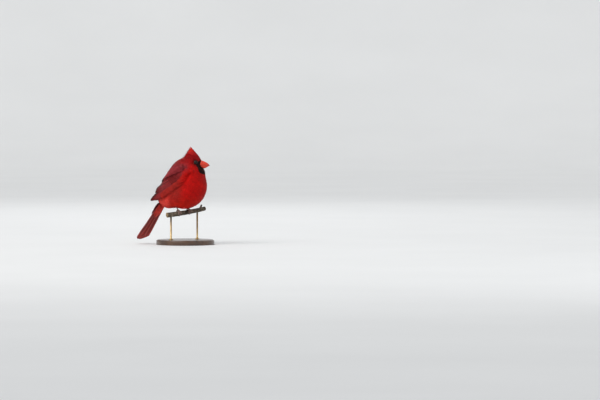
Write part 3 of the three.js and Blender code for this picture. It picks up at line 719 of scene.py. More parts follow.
def feathers(name, roots, mids, tips, facing, half_width, barbs, colours, raggedness=0.1):
    """Feathers as fans of barbs. Each runs from its root over its mid to its tip, and faces that way."""
    count = len(roots)
    over = 2 * mids - (roots + tips) / 2
    start, over, end, across, out = (
        ways[:, None, None] for ways in (roots, over, tips, unit(np.cross(facing, tips - roots)), facing)
    )
    wide = half_width[:, None, None]
    spread = np.linspace(-1, 1, barbs)
    fan = spread[None, :, None]
    reach = 1 - 0.2 * spread**2 + rng.uniform(-raggedness, raggedness, (count, barbs))
    t = (reach[:, :, None] * BARB_STEPS)[..., None]
    lines = (1 - t) ** 2 * start + 2 * t * (1 - t) * over + t**2 * end
    lateral = fan * FAN * wide
    lateral = lateral + rng.uniform(-0.06, 0.06, (count, barbs, 1)) * wide * BARB_STEPS
    cup = -FEATHER_CUP * fan**2 * FAN * wide
    lines = lines + lateral[..., None] * across + cup[..., None] * out
    strip = (BARB_WIDTHS * wide / barbs * BARB_OVERLAP)[..., None] * across
    left, right = lines - strip, lines + strip
    verts = np.concatenate([left[:, :, :3], right[:, :, :3], lines[:, :, 3:]], axis=2).reshape(-1, 3)
    triangles = (np.arange(count * barbs)[:, None, None] * 7 + STRIP_FACES).reshape(-1, 3)
    tint = np.repeat(np.stack(colours, axis=1)[:, None, STRIP_TONES], barbs, axis=1)
    tint = tint * rng.uniform(0.86, 1.1, (count, barbs, 1, 1))
    patch = np.stack(np.meshgrid(spread, STRIP_PLACES, indexing="ij"), axis=-1)
    places = np.clip(skin_place(roots)[:, None, None, :] + 0.0015 * patch[None], 0, 1)
    uvs = {"OFBake": places.reshape(-1, 2)}
    return new_piece(name, verts, triangles, "coat", "plumage", (), tint.reshape(-1, 3), uvs)


def feather_sizes(points):
    """Length, half width and lift of the plumage by place."""
    head = smooth(9, 40, face_distance(points))
    low = smooth(118, 84, points[:, 2])
    crest = crest_share(points)
    length = lerp(1.9, 11.5, head) + 3.0 * low * head + 3.0 * crest
    return length, lerp(0.75, 2.9, head) + 0.5 * crest, lerp(0.05, 0.4, head) + 0.3 * low * head


def coat_spacing(points):
    """The feathers stand closest on the face, where they are smallest."""
    return lerp(0.62, 1.45, smooth(8, 42, face_distance(points)))


EYE_CLEARING = 3.7
WING_CLEARING = 3.2
FACE_REACH = 36
FACE_BARBS, BODY_BARBS = 5, 11
# Where the body's coat is split in four pieces, forward and up
COAT_SPLIT = (4, 118)


def make_coat(hull, body, wings):
    """The small feathers of the head and body."""
    points, normals = scatter(hull, coat_spacing)
    clear = eye_distance(points) > EYE_CLEARING
    for i, (p, n) in enumerate(zip(points, normals)):
        clear[i] = clear[i] and wings.ray_cast(Vector(p - n * 0.5), Vector(n), WING_CLEARING)[0] is None
    points, normals = points[clear], normals[clear]
    length, half_width, lift = feather_sizes(points)
    near_eye = np.clip((eye_distance(points) - 3.6) / 4, 0.25, 1)
    length = length * rng.uniform(0.8, 1.2, len(points)) * near_eye
    half_length = length[:, None] / 2
    way = unit(lie(points, normals) + 0.13 * rng.normal(size=points.shape))
    mids, mid_normals = drape(body, points + way * half_length, normals)
    way = unit(lie(mids, mid_normals) + way * 0.7)
    tips, tip_normals = drape(body, mids + way * half_length, mid_normals)
    rising = CREST_WAY - np.outer(in_head(points)[1] * 0.05, HEAD_LEFT) + 0.07 * rng.normal(size=points.shape)
    rising = unit(rising + 0.1 * normals)
    rise = 0.75 * crest_share(points)[:, None]
    mids = lerp(mids, points + rising * half_length, rise)
    tips = lerp(tips, points + rising * 2 * half_length, rise)
    on_muzzle = (in_head(points)[0] > 8)[:, None]
    mids, tips = (np.where(on_muzzle, bared_bill(places), places) for places in (mids, tips))
    depth = coat_depth(points)[:, None]
    lift = (lift + rng.uniform(-0.3, 0.5, len(points)) * lift)[:, None]
    roots = points - normals * depth
    mids = mids + mid_normals * (0.3 * lift - 0.25 * depth)
    tips = tips + tip_normals * lift
    red = 1 - mask_share(mids)
    tone = plumage_colour(mids) * rng.uniform(0.86, 1.1, (len(points), 1))
    dark = blend(tone, DOWN, 0.5 * red)
    bright = blend(tone, tone * BRIGHTER + 0.002, red)
    on_face = face_distance(points) < FACE_REACH
    fore, high = points[:, 0] >= COAT_SPLIT[0], points[:, 2] >= COAT_SPLIT[1]
    groups = {
        "coat_head": on_face,
        "coat_nape": ~on_face & high & ~fore,
        "coat_breast": ~on_face & high & fore,
        "coat_flanks": ~on_face & ~high & ~fore,
        "coat_belly": ~on_face & ~high & fore,
    }
    shapes = roots, mids, tips, mid_normals, half_width * near_eye
    for name, chosen in groups.items():
        barbs = FACE_BARBS if name == "coat_head" else BODY_BARBS
        tones = [colour[chosen] for colour in (dark, tone, bright)]
        feathers(name, *(shape[chosen] for shape in shapes), barbs, tones)


# Vanes: the feathers of wings and tail, each a thin closed blade with a raised shaft

VANE_COLUMNS = 9
VANE_THICK = 0.22
SHAFT_HEIGHT, SHAFT_WIDTH = 0.22, 0.1


def vane_mesh(place, outline, rows):
    """A vane over a grid. place(t, v) gives points and the way out for shares along and across."""
    columns = VANE_COLUMNS
    t = np.linspace(0, 1, rows) ** 0.8
    v = np.linspace(-1, 1, columns)
    t, v = (grid.ravel() for grid in np.meshgrid(t, v, indexing="ij"))
    points, outward = place(t, v * outline(t))
    shaft = SHAFT_HEIGHT * np.exp(-((v / SHAFT_WIDTH) ** 2)) * (1 - t)
    verts = np.vstack([points + outward * (VANE_THICK + shaft)[:, None], points])
    count = rows * columns
    faces = grid_faces(rows, columns)
    faces += [tuple(i + count for i in face[::-1]) for face in faces]
    edge = [i * columns for i in range(rows)]
    edge += [(rows - 1) * columns + k for k in range(1, columns)]
    edge += [i * columns + columns - 1 for i in range(rows - 2, -1, -1)]
    edge += [k for k in range(columns - 2, 0, -1)]
    for a, b in zip(edge, edge[1:] + edge[:1]):
        faces.append((b, a, a + count, b + count))
    return verts, faces, np.tile(t, 2), np.tile(v, 2)


class Vanes:
    """Gathers vanes into one piece."""

    def __init__(self):
        self.parts, self.tints, self.places, self.bakes = [], [], [], []

    def add(self, place, outline, length, width, colours, rows):
        verts, faces, t, v = vane_mesh(place, outline, rows)
        self.parts.append((verts, faces))
        self.tints.append(colours(t, v))
        barbs = (t * length * 1.15 - np.abs(v) * width * 0.8) * 0.8
        self.places.append(np.stack([barbs, 0.1 * v * width + rng.random()], axis=1))
        root = skin_place(verts[:1])
        self.bakes.append(np.clip(root + 0.02 * np.stack([v * 0.35, t], axis=1), 0, 1))

    def piece(self, name, node):
        verts, faces = joined(self.parts)
        uvs = {"OFBake": np.vstack(self.bakes), "vane": np.vstack(self.places)}
        return new_piece(name, verts, faces, "vane", "flight_feathers", (node,), np.vstack(self.tints), uvs)


def rounded(tip, root=0.7, point=2.0):
    """An outline that starts at a share of its width and closes over the last share of its length."""

    def outline(t):
        closing = np.clip((t - (1 - tip)) / tip, 0, 1)
        return np.minimum(1, root + 2.5 * t) * (1 - closing**point) ** (1 / point) + 0.02

    return outline


def quill_colours(edge, middle, far, lower_edge=True):
    """A dusky vane with a bright lower edge, which shows the most, or with both edges bright."""
    tone = rng.uniform(0.88, 1.1)

    def colours(t, v):
        outer = smooth(-0.35, -0.95, v) if lower_edge else smooth(0.45, 0.98, np.abs(v))
        colour = blend(middle, edge, outer)
        colour = blend(colour, far, smooth(0.72, 1.0, t) * 0.7)
        shaft = np.exp(-((v / 0.07) ** 2))
        return blend(colour, QUILL_DARK, 0.75 * shaft) * tone

    return colours


# Wings

BED_STEP, BED_TURN = 1.5, 2.5  # millimetres along, and degrees round
CAST_FROM = 70
# Where the body is slim, the bed is an ellipsoid: its middle along, half length, half width and half height.
BED_MIDDLE, BED_LENGTH, BED_WIDTH, BED_HEIGHT = 34, 62, 22, 28


class WingBed:
    """What a folded wing lies on: its distance from the axis, by place along and turn from the back."""

    def __init__(self, side, body):
        self.side = side
        self.along = np.arange(-26, 98, BED_STEP)
        self.turns = np.radians(np.arange(8, 118, BED_TURN))
        table = np.zeros((len(self.along), len(self.turns)))
        for i, s in enumerate(self.along):
            left = max(0.0, 1 - ((s - BED_MIDDLE) / BED_LENGTH) ** 2) ** 0.5
            start = WING_START + WING_ALONG * s
            for k, turn in enumerate(self.turns):
                way = self.way(turn)
                hit, _, _, far = body.ray_cast(Vector(start + way * CAST_FROM), Vector(-way), CAST_FROM - 1)
                slim = 1 / ((sin(turn) / BED_WIDTH) ** 2 + (cos(turn) / BED_HEIGHT) ** 2) ** 0.5 * left
                table[i, k] = max(CAST_FROM - far if hit is not None else 0, slim, 1.0)
        padded = np.pad(table, 2, mode="edge")
        kernel = np.array([1, 4, 6, 4, 1]) / 16
        rows = sum(w * padded[i:i + len(self.along)] for i, w in enumerate(kernel))
        self.table = sum(w * rows[:, i:i + len(self.turns)] for i, w in enumerate(kernel))

    def way(self, turn):
        turn = np.asarray(turn)[..., None]
        return WING_ABOVE * np.cos(turn) + np.array([0, self.side, 0]) * np.sin(turn)

    def radius(self, s, turn):
        i = np.clip((s - self.along[0]) / BED_STEP, 0, len(self.along) - 1.001)
        k = np.clip((turn - self.turns[0]) / radians(BED_TURN), 0, len(self.turns) - 1.001)
        i0, k0 = i.astype(int), k.astype(int)
        a, b = i - i0, k - k0
        near = self.table[i0, k0] * (1 - b) + self.table[i0, k0 + 1] * b
        far = self.table[i0 + 1, k0] * (1 - b) + self.table[i0 + 1, k0 + 1] * b
        return near * (1 - a) + far * a

    def points(self, s, above, height):
        """Points at a height over the bed, s along the axis and above it in a side view, and the way out."""
        turn = np.full_like(s, radians(60))
        for _ in range(8):
            turn = np.arccos(np.clip(above / self.radius(s, turn), -0.5, 0.97))
        way = self.way(turn)
        start = WING_START + WING_ALONG * s[:, None]
        return start + way * (self.radius(s, turn) + height)[:, None], way


def wing_vane(vanes, bed, root, tip, width, rise, low, outline, colours, rows):
    """A vane from root to tip, each (along, above), with its lower edge raised over the vane below it."""
    length = tip[0] - root[0]

    def place(t, v):
        s = lerp(root[0], tip[0], t)
        droop = 0.04 * width * np.sin(pi * t)
        above = lerp(root[1], tip[1], t) + v * width / 2 - droop
        height = lerp(low[0], low[1], np.minimum(1, 2 * t)) + rise * (0.5 - 0.5 * v)
        return bed.points(s, above, height + 0.25 * (1 - v * v))

    vanes.add(place, outline, length, width, colours, rows)


# The flight feathers: how many, their pitch above the axis at root and tip, how much each one covers, how far
# along the tip of each is, and their outline
FLIGHT_FEATHERS = (
    (9, (1.0, 1.35), 2.4, lambda k: WING_LENGTH - 9 - 1.0 * (k - 3.4) ** 2, rounded(0.16, point=1.8)),
    (6, (1.25, 1.2), 2.3, lambda k: 68 - 1.1 * k, rounded(0.1)),
    (3, (3.8, 3.2), 1.7, lambda k: 60 - 7.5 * k, rounded(0.22)),
)
# The tiers of coverts: how many, where the lowest one's root and tip are, how far the tips slant, how high
# the tier reaches, how far off the bed it lies at root and tip, and the colour of its middles
COVERTS = (
    # The two lowest tiers have the darkest middles: partly the coverts' own dusky colour, partly painted
    # shadow where the flank feathers overhang the wing
    (10, (2, 5.2), (24, 5.2), 5, 23, (1.6, 2.7), blend(QUILL_DARK, BACK, 0.2)),
    (9, (-7, 8), (12, 7.8), 3, 21, (2.2, 3.8), blend(QUILL_DARK, BACK, 0.38)),
    (9, (-11, 11), (3, 9.8), 1.5, 19, (2.2, 4.7), blend(QUILL, BACK, 0.65)),
    (8, (-14, 13), (-3, 12), 1, 16, (1.9, 4.7), BACK),
    (7, (-16.5, 14.5), (-8, 14), 0, 13, (1.4, 3.9), BACK),
    (5, (-18.5, 16.5), (-12.5, 16), 0, 9, (0.8, 2.7), BACK),
)


def make_wing(side, body):
    bed = WingBed(side, body)
    vanes = Vanes()
    root, tip = 4.0, 4.6
    for index, (count, pitch, cover, reach, outline) in enumerate(FLIGHT_FEATHERS):
        width = cover * (pitch[0] + pitch[1]) / 2 * (1.5 if index == 0 else 1.25)
        edge = blend(ROSY_EDGE, BACK, 0.2 * index)
        middle = QUILL if index < 2 else blend(QUILL, BACK, 0.3)
        for k in range(count):
            colours = quill_colours(edge, middle, QUILL_DARK if index < 2 else QUILL)
            start, end = (5 - 0.25 * root, root), (reach(k), tip)
            wing_vane(vanes, bed, start, end, width, 0.55 * cover, (0.7, 0.8), outline, colours, 22)
            root += pitch[0]
            tip += pitch[1]
    for count, roots, tips, slant, span, low, middle in COVERTS:
        width = span / (count - 1) * 2.1
        for share in np.arange(count) / (count - 1):
            shake = rng.uniform(-0.5, 0.5, 2)
            start = (roots[0] + shake[0], roots[1] + span * 0.96 * share)
            end = (tips[0] + slant * share + shake[1], tips[1] + span * share)
            colours = quill_colours(QUILL_EDGE, middle, blend(middle, QUILL_EDGE, 0.5), lower_edge=False)
            wing_vane(vanes, bed, start, end, width, 0.8, low, rounded(0.4), colours, 9)
    name = f"wing_{SIDES[side]}"
    return bed, vanes.piece(f"{name}_feathers", name)


def outermost(tree, points, outs):
    """The outermost places on a tree, straight over or under points as seen from outside."""
    places = points.copy()
    for i, (p, way) in enumerate(zip(points, outs)):
        hit, _, _, _ = tree.ray_cast(Vector(p + way * 25), Vector(-way), 45)
        if hit is not None:
            places[i] = hit
    return places


# How high the wing's lower edge is, at places along it
WING_EDGE = ((-20, -11, -7, 2, 10, 94), (17, 10.5, 7.5, 4.6, 3.2, 3.5))


def edge_feathers(bed, envelope, name, start, end, length_range):
    """Body feathers over an edge of the wing, from start to end, each (along, above) for every feather."""
    count = len(start[0])
    roots, _ = bed.points(*start, np.full(count, -2.4))
    aims, outs = bed.points(*end, np.full(count, 6.0))
    reach = np.linalg.norm(aims - roots, axis=1)[:, None]
    wanted = rng.uniform(*length_range, count)[:, None]
    aims = roots + (aims - roots) * np.minimum(1, wanted / reach)
    tips = outermost(envelope, aims, outs) + outs * rng.uniform(0.2, 0.6, (count, 1))
    chord = (roots + tips) / 2
    over = np.sum((outermost(envelope, chord, outs) - chord) * outs, axis=1)
    mids = chord + outs * (np.maximum(over, 0) + 0.5)[:, None]
    tone = plumage_colour(mids) * rng.uniform(0.86, 1.1, (count, 1))
    colours = blend(tone, DOWN, 0.5), tone, tone * BRIGHTER
    half_width = rng.uniform(2.6, 3.4, count)
    feathers(name, roots, mids, tips, outs, half_width, BODY_BARBS, colours, raggedness=0.14)


def make_edges(side, bed, envelope):
    """Flank feathers come up over the wing's lower edge, and shoulder feathers down over its upper edge."""
    s = rng.uniform(-24, 50, 1300)
    below = rng.uniform(0.5, 15, 1300)
    climb = lerp(5.5, 2.0, below / 15) + 3.5 * smooth(-4, 14, s) * smooth(55, 35, s)
    above = np.interp(s, *WING_EDGE) - below
    edge_feathers(bed, envelope, f"coat_flank_{SIDES[side]}", (s, above), (s + 10, above + climb), (9, 14))
    s = rng.uniform(-17, 34, 1000)
    row = rng.random(1000)
    top = lerp(22, 30, np.minimum(1, (s + 17) / 39))
    start, end = (s, top + 1 + 9 * row), (s + 12, top - 2 + 6 * row)
    edge_feathers(bed, envelope, f"coat_shoulder_{SIDES[side]}", start, end, (9, 15))
    above = rng.uniform(1, 16, 480)
    s = np.interp(above, (1, 10, 16), (-9, -17, -19)) - rng.uniform(0.5, 9, 480)
    edge_feathers(bed, envelope, f"coat_bend_{SIDES[side]}", (s, above), (s + 11, above - 0.5), (8, 12))


# Tail

TAIL_PAIRS = 6
TAIL_HALF_WIDTHS = (3.4, 6.8)
UNCUT = -99


def tail_vane(vanes, start, end, offset, angle, level, colours, inner):
    """A tail feather, at an angle to the tail's middle line and cut off at inner from that line."""
    hand = 1 if offset >= 0 else -1

    def place(t, v):
        along = lerp(start, end, t)
        middle = abs(offset) + np.tan(angle) * along
        half = lerp(*TAIL_HALF_WIDTHS, np.minimum(1, t / 0.8))
        aside = np.maximum(middle + v * half, inner)
        arch = level - 0.5 * (aside / 14) ** 2 + 0.15 * (1 - v * v)
        points = TAIL_ROOT + np.outer(along, TAIL_ALONG) + np.outer(hand * aside, TAIL_SIDE)
        return points + np.outer(arch, TAIL_ABOVE), np.broadcast_to(TAIL_ABOVE, points.shape)

    outline = rounded(0.07, root=0.8, point=2.4)
    vanes.add(place, outline, end - start, 2 * TAIL_HALF_WIDTHS[1], colours, 20)


def make_tail():
    vanes = Vanes()
    for hand in (-1, 1):
        for j in range(TAIL_PAIRS):
            share = j / (TAIL_PAIRS - 1)
            level = -0.8 * ((0 if hand > 0 else 1) if j == 0 else j + 1)
            end = TAIL_LENGTH - 9 * share**1.5
            angle = radians(lerp(0.5, 3.4, share))
            colours = quill_colours(TAIL_EDGE, TAIL_MIDDLE, TAIL_EDGE, lower_edge=False)
            inner = UNCUT if j == 0 else 0.2
            tail_vane(vanes, TAIL_EXIT - 6, end, hand * (1 + 5 * share), angle, level, colours, inner)
    vanes.piece("tail_feathers", "tail")


def make_tail_coverts():
    """Soft feathers over the tail's root, above and below."""
    for above, count, name in ((True, 220, "coat_tail_upper"), (False, 420, "coat_tail_under")):
        aside = rng.uniform(-1, 1, count)
        row = rng.random(count)
        sign = 1 if above else -1
        floor = 0.9 if above else 5.6
        start = TAIL_EXIT - 10 + 17 * row
        end = start + rng.uniform(12, 19, count) * (1 - 0.2 * aside**2)
        lump = (1 - aside**2) * (1.2 if above else 3.0) * (1 - 0.6 * row)

        def place(along, width, height):
            points = TAIL_ROOT + np.outer(along, TAIL_ALONG) + np.outer(aside * width, TAIL_SIDE)
            return points + np.outer(sign * height, TAIL_ABOVE)

        roots = place(start, 6.5, floor + lump * 0.6 - 1.5)
        mids = place((start + end) / 2, 8.0 - row, floor + lump)
        tips = place(end, 8.5 - 1.5 * row, floor + lump * 0.35)
        # The under coverts carry the bright salmon, which is partly painted light on the underside
        tone = np.tile(BACK * 1.25 if above else UNDERTAIL_WITH_PAINTED_LIGHT, (count, 1)) * rng.uniform(0.8, 1.15, (count, 1))
        facing = np.tile(sign * TAIL_ABOVE, (count, 1))
        colours = (blend(tone, DOWN, 0.5), tone, tone * np.array([1.15, 1.5, 1.4]))
        feathers(name, roots, mids, tips, facing, rng.uniform(2.2, 3.2, count), 9, colours, raggedness=0.16)


# Crest

CREST_ROOTS = np.array([[14, 3], [6, 10], [-4, 12.5], [-13, 8]], dtype=float)
CREST_TIPS = np.array([[6.5, 16.6], [0.2, 25], [-6.6, 32.6], [-11.5, 26], [-17, 13]], dtype=float)


def along_line(points, share):
    """A place on a line through points, at a share of its length."""
    steps = np.linspace(0, 1, len(points))
    return np.stack([np.interp(share, steps, points[:, i]) for i in range(2)], axis=1)


def make_crest():
    """Feathers from the crown up to the crest's outline. The longest ones meet over the crown's middle."""
    count = 520
    share = rng.random(count)
    aside = rng.uniform(-1, 1, count)
    reach = rng.random(count) ** 0.7
    root = along_line(CREST_ROOTS, share)
    tip = along_line(CREST_TIPS, np.clip(share + rng.uniform(-0.05, 0.05, count), 0, 1))
    tip = root + (tip - root) * lerp(0.5, 1.0, reach)[:, None]
    width = 7.5 * np.sin(pi * np.clip(0.15 + 0.7 * share, 0, 1))

    def place(pair, left, lower):
        return np.array([on_head(f, l, u - d) for (f, u), l, d in zip(pair, left, lower)])

    roots = place(root, aside * width, 5.5 * aside**2)
    tips = place(tip, aside * width * lerp(0.6, 0.1, reach), 3 * aside**2 * reach)
    forward = 0.8 * (0.6 * HEAD_FRONT + 0.5 * UP) * (1 - np.abs(aside))[:, None]
    facing = unit(np.outer(aside, HEAD_LEFT) * 1.3 + forward)
    mids = (roots + tips) / 2 + facing * 1.3
    tone = np.tile(CROWN * 1.1, (count, 1)) * rng.uniform(0.8, 1.2, (count, 1))
    # Towards the top of the crest the tips turn lighter: painted light shining through them
    tone = blend(tone, CREST_TIP_PAINTED_LIGHT, 0.7 * smooth(20, 34, tip[:, 1]))
    colours = (blend(tone, DOWN, 0.4), tone, tone * np.array([1.25, 1.8, 1.6]) + 0.004)
    half_width = rng.uniform(1.3, 2.1, count)
    piece = feathers("crest_feathers", roots, mids, tips, facing, half_width, 6, colours, raggedness=0.12)
    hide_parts("crest")


# Head: eyes, lids and bill

# Where the pupil and the iris end, as turns from the line of sight
PUPIL_END, IRIS_END = 0.3, 0.62
IRIS_BROWN, PUPIL_BLACK, LID_DARK = (0.03, 0.01, 0.005), (0.002, 0.002, 0.002), (0.02, 0.011, 0.01)
LID_RADIUS, LID_AHEAD, LID_HALF_WIDTH = 3.42, 2.25, 0.66


def make_eye(name, eye):
    """A dark brown eye with a wide black pupil, in a ring of bare lid."""
    out = eye["outward"]
    up = unit(UP - out * (UP @ out))
    aside = np.cross(up, out)
    rings, sides = 40, 48
    verts, tint = [], []
    for band in np.linspace(0.0, pi * 0.72, rings):
        radius = eye["radius"] * (1 + 0.035 * max(0.0, 1 - (band / IRIS_END) ** 2))
        tint += [IRIS_BROWN if PUPIL_END < band < IRIS_END else PUPIL_BLACK] * sides
        for turn in around(sides):
            way = out * cos(band) + (up * cos(turn) + aside * sin(turn)) * sin(band)
            verts.append(eye["middle"] + way * radius)
    faces = grid_faces(rings, sides, closed=True)
    faces.append(tuple(range((rings - 1) * sides, rings * sides)))
    new_piece(f"{name}_ball", np.array(verts), faces, "eye", "eye", (name,), np.array(tint))
    rings, sides = 72, 12
    verts = []
    for k, turn in enumerate(around(rings)):
        way = up * cos(turn) * 0.94 + aside * sin(turn)
        seat = eye["middle"] + out * LID_AHEAD + way * LID_RADIUS
        size = LID_HALF_WIDTH + 0.05 * (k % 2)
        verts += [
            seat + (way * cos(a) + out * (0.6 * sin(a) - 0.3 * cos(a))) * size for a in around(sides)
        ]
    faces = grid_faces(rings, sides, closed=True)
    last = (rings - 1) * sides
    faces += [(last + k, last + (k + 1) % sides, (k + 1) % sides, k) for k in range(sides)]
    tint = np.tile(LID_DARK, (len(verts), 1))
    new_piece(f"{name}_lid", np.array(verts), faces, "lid", "plumage", (), tint)


BILL_CORAL = np.array([0.76, 0.048, 0.018])
# A paler line along the bill's middle: partly the horn's own paler ridge, partly a painted highlight along
# the top
BILL_PALE_AND_HIGHLIGHT = np.array([0.86, 0.24, 0.16])
# Painted shade on the bill: at its tip, along the gape between the halves, and in the nostril's pit
BILL_PAINTED_SHADE = np.array([0.16, 0.035, 0.02])
BILL_SWEEP = 4.8  # how far back the bill runs into the face


def make_bill():
    """The two halves of the bill, coral red, with a nostril's pit on each side of the upper one."""
    for name in ("bill_upper", "bill_lower"):
        upper = name == "bill_upper"
        shifts = [-HEAD_FRONT * back for back in np.linspace(0, BILL_SWEEP, 9)]
        verts, normals, triangles = remeshed([name], 0.26, 8, shifts)
        front, left, up = in_head(verts)
        nostril = np.hypot(front - 18.2, up + 0.2)
        pit = np.where(upper & (np.abs(left) > 2), smooth(1, 0.4, nostril), 0)
        verts = verts - normals * (0.55 * pit)[:, None]
        colour = np.tile(BILL_CORAL, (len(verts), 1))
        # Paler along the middle line: partly the horn's own ridge, partly a painted highlight on the upper
        # half's top
        ridge = smooth(2.2, 0.4, np.abs(left)) * (1 if upper else 0.3)
        colour = blend(colour, BILL_PALE_AND_HIGHLIGHT, 0.5 * ridge * smooth(32, 24, front))
        # Painted shade: the tip darkens, and so do the gape where the halves meet and the nostril's pit
        edge = smooth(0.9, 0.1, np.abs(up + 5.2)) * smooth(13, 17, front)
        for share in (0.55 * smooth(27, 32.5, front), 0.4 * edge, 0.8 * pit):
            colour = blend(colour, BILL_PAINTED_SHADE, share)
        verts = verts + normals * 0.06
        new_piece(f"{name}_horn", verts, triangles, "bill", "bill", (name,), colour)


# Branch, feet and stand

PERCH_ALONG = np.array([cos(PERCH_TURN), sin(PERCH_TURN), 0])
PERCH_FRONT = np.array([sin(PERCH_TURN), -cos(PERCH_TURN), 0])


def perch_line(w):
    """The branch's middle line, w along it from between the feet."""
    height = PERCH_TOP - PERCH_RADIUS + PERCH_RISE * w + 0.0004 * w * w
    return PERCH_ALONG * w - PERCH_FRONT * 0.0014 * w * w + np.array([-FEET_BEHIND, 0, height])


def perch_radius(w):
    """The branch grows slimmer along its length."""
    return PERCH_RADIUS - 0.009 * w


def bark_radii(path, radii, sides):
    """Rough radii, for each ring and side: long furrows and small knobs."""
    rows = []
    for p, r in zip(path, radii):
        row = []
        for k in range(sides):
            a = 2 * pi * k / sides
            spot = Vector((p[0] * 0.05 + 2 * cos(a), p[1] * 0.05 + 2 * sin(a), p[2] * 0.05))
            furrow = noise.fractal(spot * 2.2, 1.0, 2.0, 4)
            knob = noise.noise(Vector((p[0] * 0.35 + 3 * cos(a), p[1] * 0.35, 3 * sin(a) + p[2] * 0.3)))
            row.append(r * (0.955 + 0.05 * furrow + 0.035 * knob))
        rows.append(row)
    return rows


BRANCH_RINGS, BRANCH_SIDES = 190, 72
TWIG_RINGS, TWIG_SIDES = 30, 40
TWIG_WAY = 0.62 * PERCH_ALONG - 0.45 * PERCH_FRONT + 0.64 * UP
TWIG_PLACE, TWIG_LENGTH, TWIG_TIP = 43, 14, 1.75
BARK_GREY, CUT_PALE = (0.2, 0.165, 0.135), (0.36, 0.27, 0.17)


def make_perch():
    places = np.linspace(*PERCH_ENDS, BRANCH_RINGS)
    path = [perch_line(w) for w in places]
    radii = bark_radii(path, [perch_radius(w) for w in places], BRANCH_SIDES)
    branch = tube(path, radii, BRANCH_SIDES)
    far = np.linspace(0, TWIG_LENGTH, TWIG_RINGS)
    twig_path = [perch_line(TWIG_PLACE) + TWIG_WAY * f for f in far]
    twig_radii = np.interp(far, [0, 5, 10, TWIG_LENGTH], [3.4, 2.25, 1.9, TWIG_TIP])
    twig = tube(twig_path, bark_radii(twig_path, twig_radii, TWIG_SIDES), TWIG_SIDES)
    verts, faces = joined([branch, twig])
    tint = np.tile(BARK_GREY, (len(verts), 1))
    tint = tint * np.array([0.8 + 0.5 * noise.noise(Vector(v * 0.12)) for v in verts])[:, None]
    branch_end = BRANCH_RINGS * BRANCH_SIDES
    tint[:BRANCH_SIDES] = tint[branch_end - BRANCH_SIDES:branch_end] = tint[-TWIG_SIDES:] = CUT_PALE
    new_piece("perch_bark", verts, faces, "bark", "bark", ("perch",), tint)
    for index, (middle, way, radius) in enumerate((
        (path[0], path[0] - path[1], perch_radius(places[0])),
        (path[-1], path[-1] - path[-2], perch_radius(places[-1])),
        (twig_path[-1], TWIG_WAY, TWIG_TIP),
    )):
        make_cut(f"perch_cut_{index}", middle, unit(way), radius * 0.9)


def make_cut(name, middle, way, radius):
    """A sawn end, with rings of growth as low ripples."""
    across = unit(np.cross(way, UP))
    third = np.cross(way, across)
    rings, sides = 16, 40
    verts, tint = [middle + way * 0.16], [(0.4, 0.3, 0.19)]
    for r in np.linspace(0.08, 1, rings):
        growth = sin(r * 34)
        tone = 1 - 0.22 * (growth > 0.3)
        dome = 0.14 * (1 - r**6) + 0.05 * growth * 0.4
        tint += [(0.42 * tone, 0.31 * tone, 0.19 * tone)] * sides
        for a in around(sides):
            wobble = r * (1 + 0.04 * sin(3 * a))
            verts.append(middle + way * dome + (across * cos(a) + third * sin(a)) * radius * wobble)
    faces = [(0, 1 + (k + 1) % sides, 1 + k) for k in range(sides)]
    faces += [face[::-1] for face in grid_faces(rings, sides, closed=True, start=1)]
    new_piece(name, np.array(verts), faces, "cut", "bark", (), np.array(tint))


TOE_RADIUS = 1.35
TARSUS = 25.0
# Each toe: how it spreads along the branch, its first and last turn round it, and its length.
TOES = ((-0.32, 0.1, 1.85, 12.0), (0.0, 0.1, 2.25, 15.0), (0.3, 0.1, 1.8, 12.0), (0.05, -0.1, -1.8, 12.0))


def round_branch(w, turn, out):
    """A place out from the branch's middle line, at a turn forward from the top."""
    return perch_line(w) + PERCH_FRONT * out * sin(turn) + UP * out * cos(turn)


def scaled_tube(path, radii, sides, scale_length):
    """A tube whose skin rises and falls in scales along it."""
    path = np.asarray(path)
    steps = np.concatenate([[0], np.cumsum(np.linalg.norm(np.diff(path, axis=0), axis=1))])
    saw = (steps / scale_length) % 1
    return tube(path, radii * (1 + 0.07 * saw - 0.035), sides)


def make_leg(side):
    """Three toes over the branch and one behind it, their claws, and the shank up into the plumage."""
    foot = side * FEET_APART / 2
    radius = perch_radius(foot)
    limbs, claws = [], []
    for spread, first, last, length in TOES:
        shares = np.linspace(0, 1, 70)
        radii = lerp(TOE_RADIUS, 0.9, shares) * (1 + 0.1 * np.sin(shares * pi * 5) ** 2 * (shares < 0.95))
        path = [
            round_branch(foot + spread * t * length, lerp(first, last, t), radius + 0.45 + r)
            for t, r in zip(shares, radii)
        ]
        radii[-6:] *= np.linspace(1, 0.45, 6)
        limbs.append(scaled_tube(path, radii, 20, 0.95))
        ahead = 1 if last > 0 else -1
        curl = np.linspace(-0.2, 0.5, 22)
        claw_path = [
            round_branch(
                foot + spread * length + spread * c * 3, last + ahead * c,
                radius + 1.55 - 0.45 * (c + 0.12) / 0.62,
            )
            for c in curl
        ]
        claws.append(tube(claw_path, np.interp(curl, [-0.2, 0.1, 0.3, 0.5], [0.7, 0.62, 0.42, 0.1]), 14))
    ankle = perch_line(foot) + UP * (radius + GAP + TOE_RADIUS + 0.6)
    lean = unit(np.array([-0.42, 0.06 * side, 0.9]))
    shares = np.linspace(-0.05, 1, 110)
    shank = np.interp(shares, [-0.05, 0.15, 0.5, 0.85, 1], [1.75, 1.25, 1.15, 1.3, 1.9])
    limbs.append(scaled_tube([ankle + lean * TARSUS * t for t in shares], shank, 24, 1.9))
    verts, faces = joined(limbs)
    tint = np.array([0.9 + 0.3 * noise.noise(Vector(v * 0.9)) for v in verts])[:, None] * np.ones(3)
    name = f"leg_{SIDES[side]}"
    new_piece(f"{name}_skin", verts, faces, "leg", "legs", (name,), tint)
    new_piece(f"claws_{SIDES[side]}", *joined(claws), "claw", "legs")


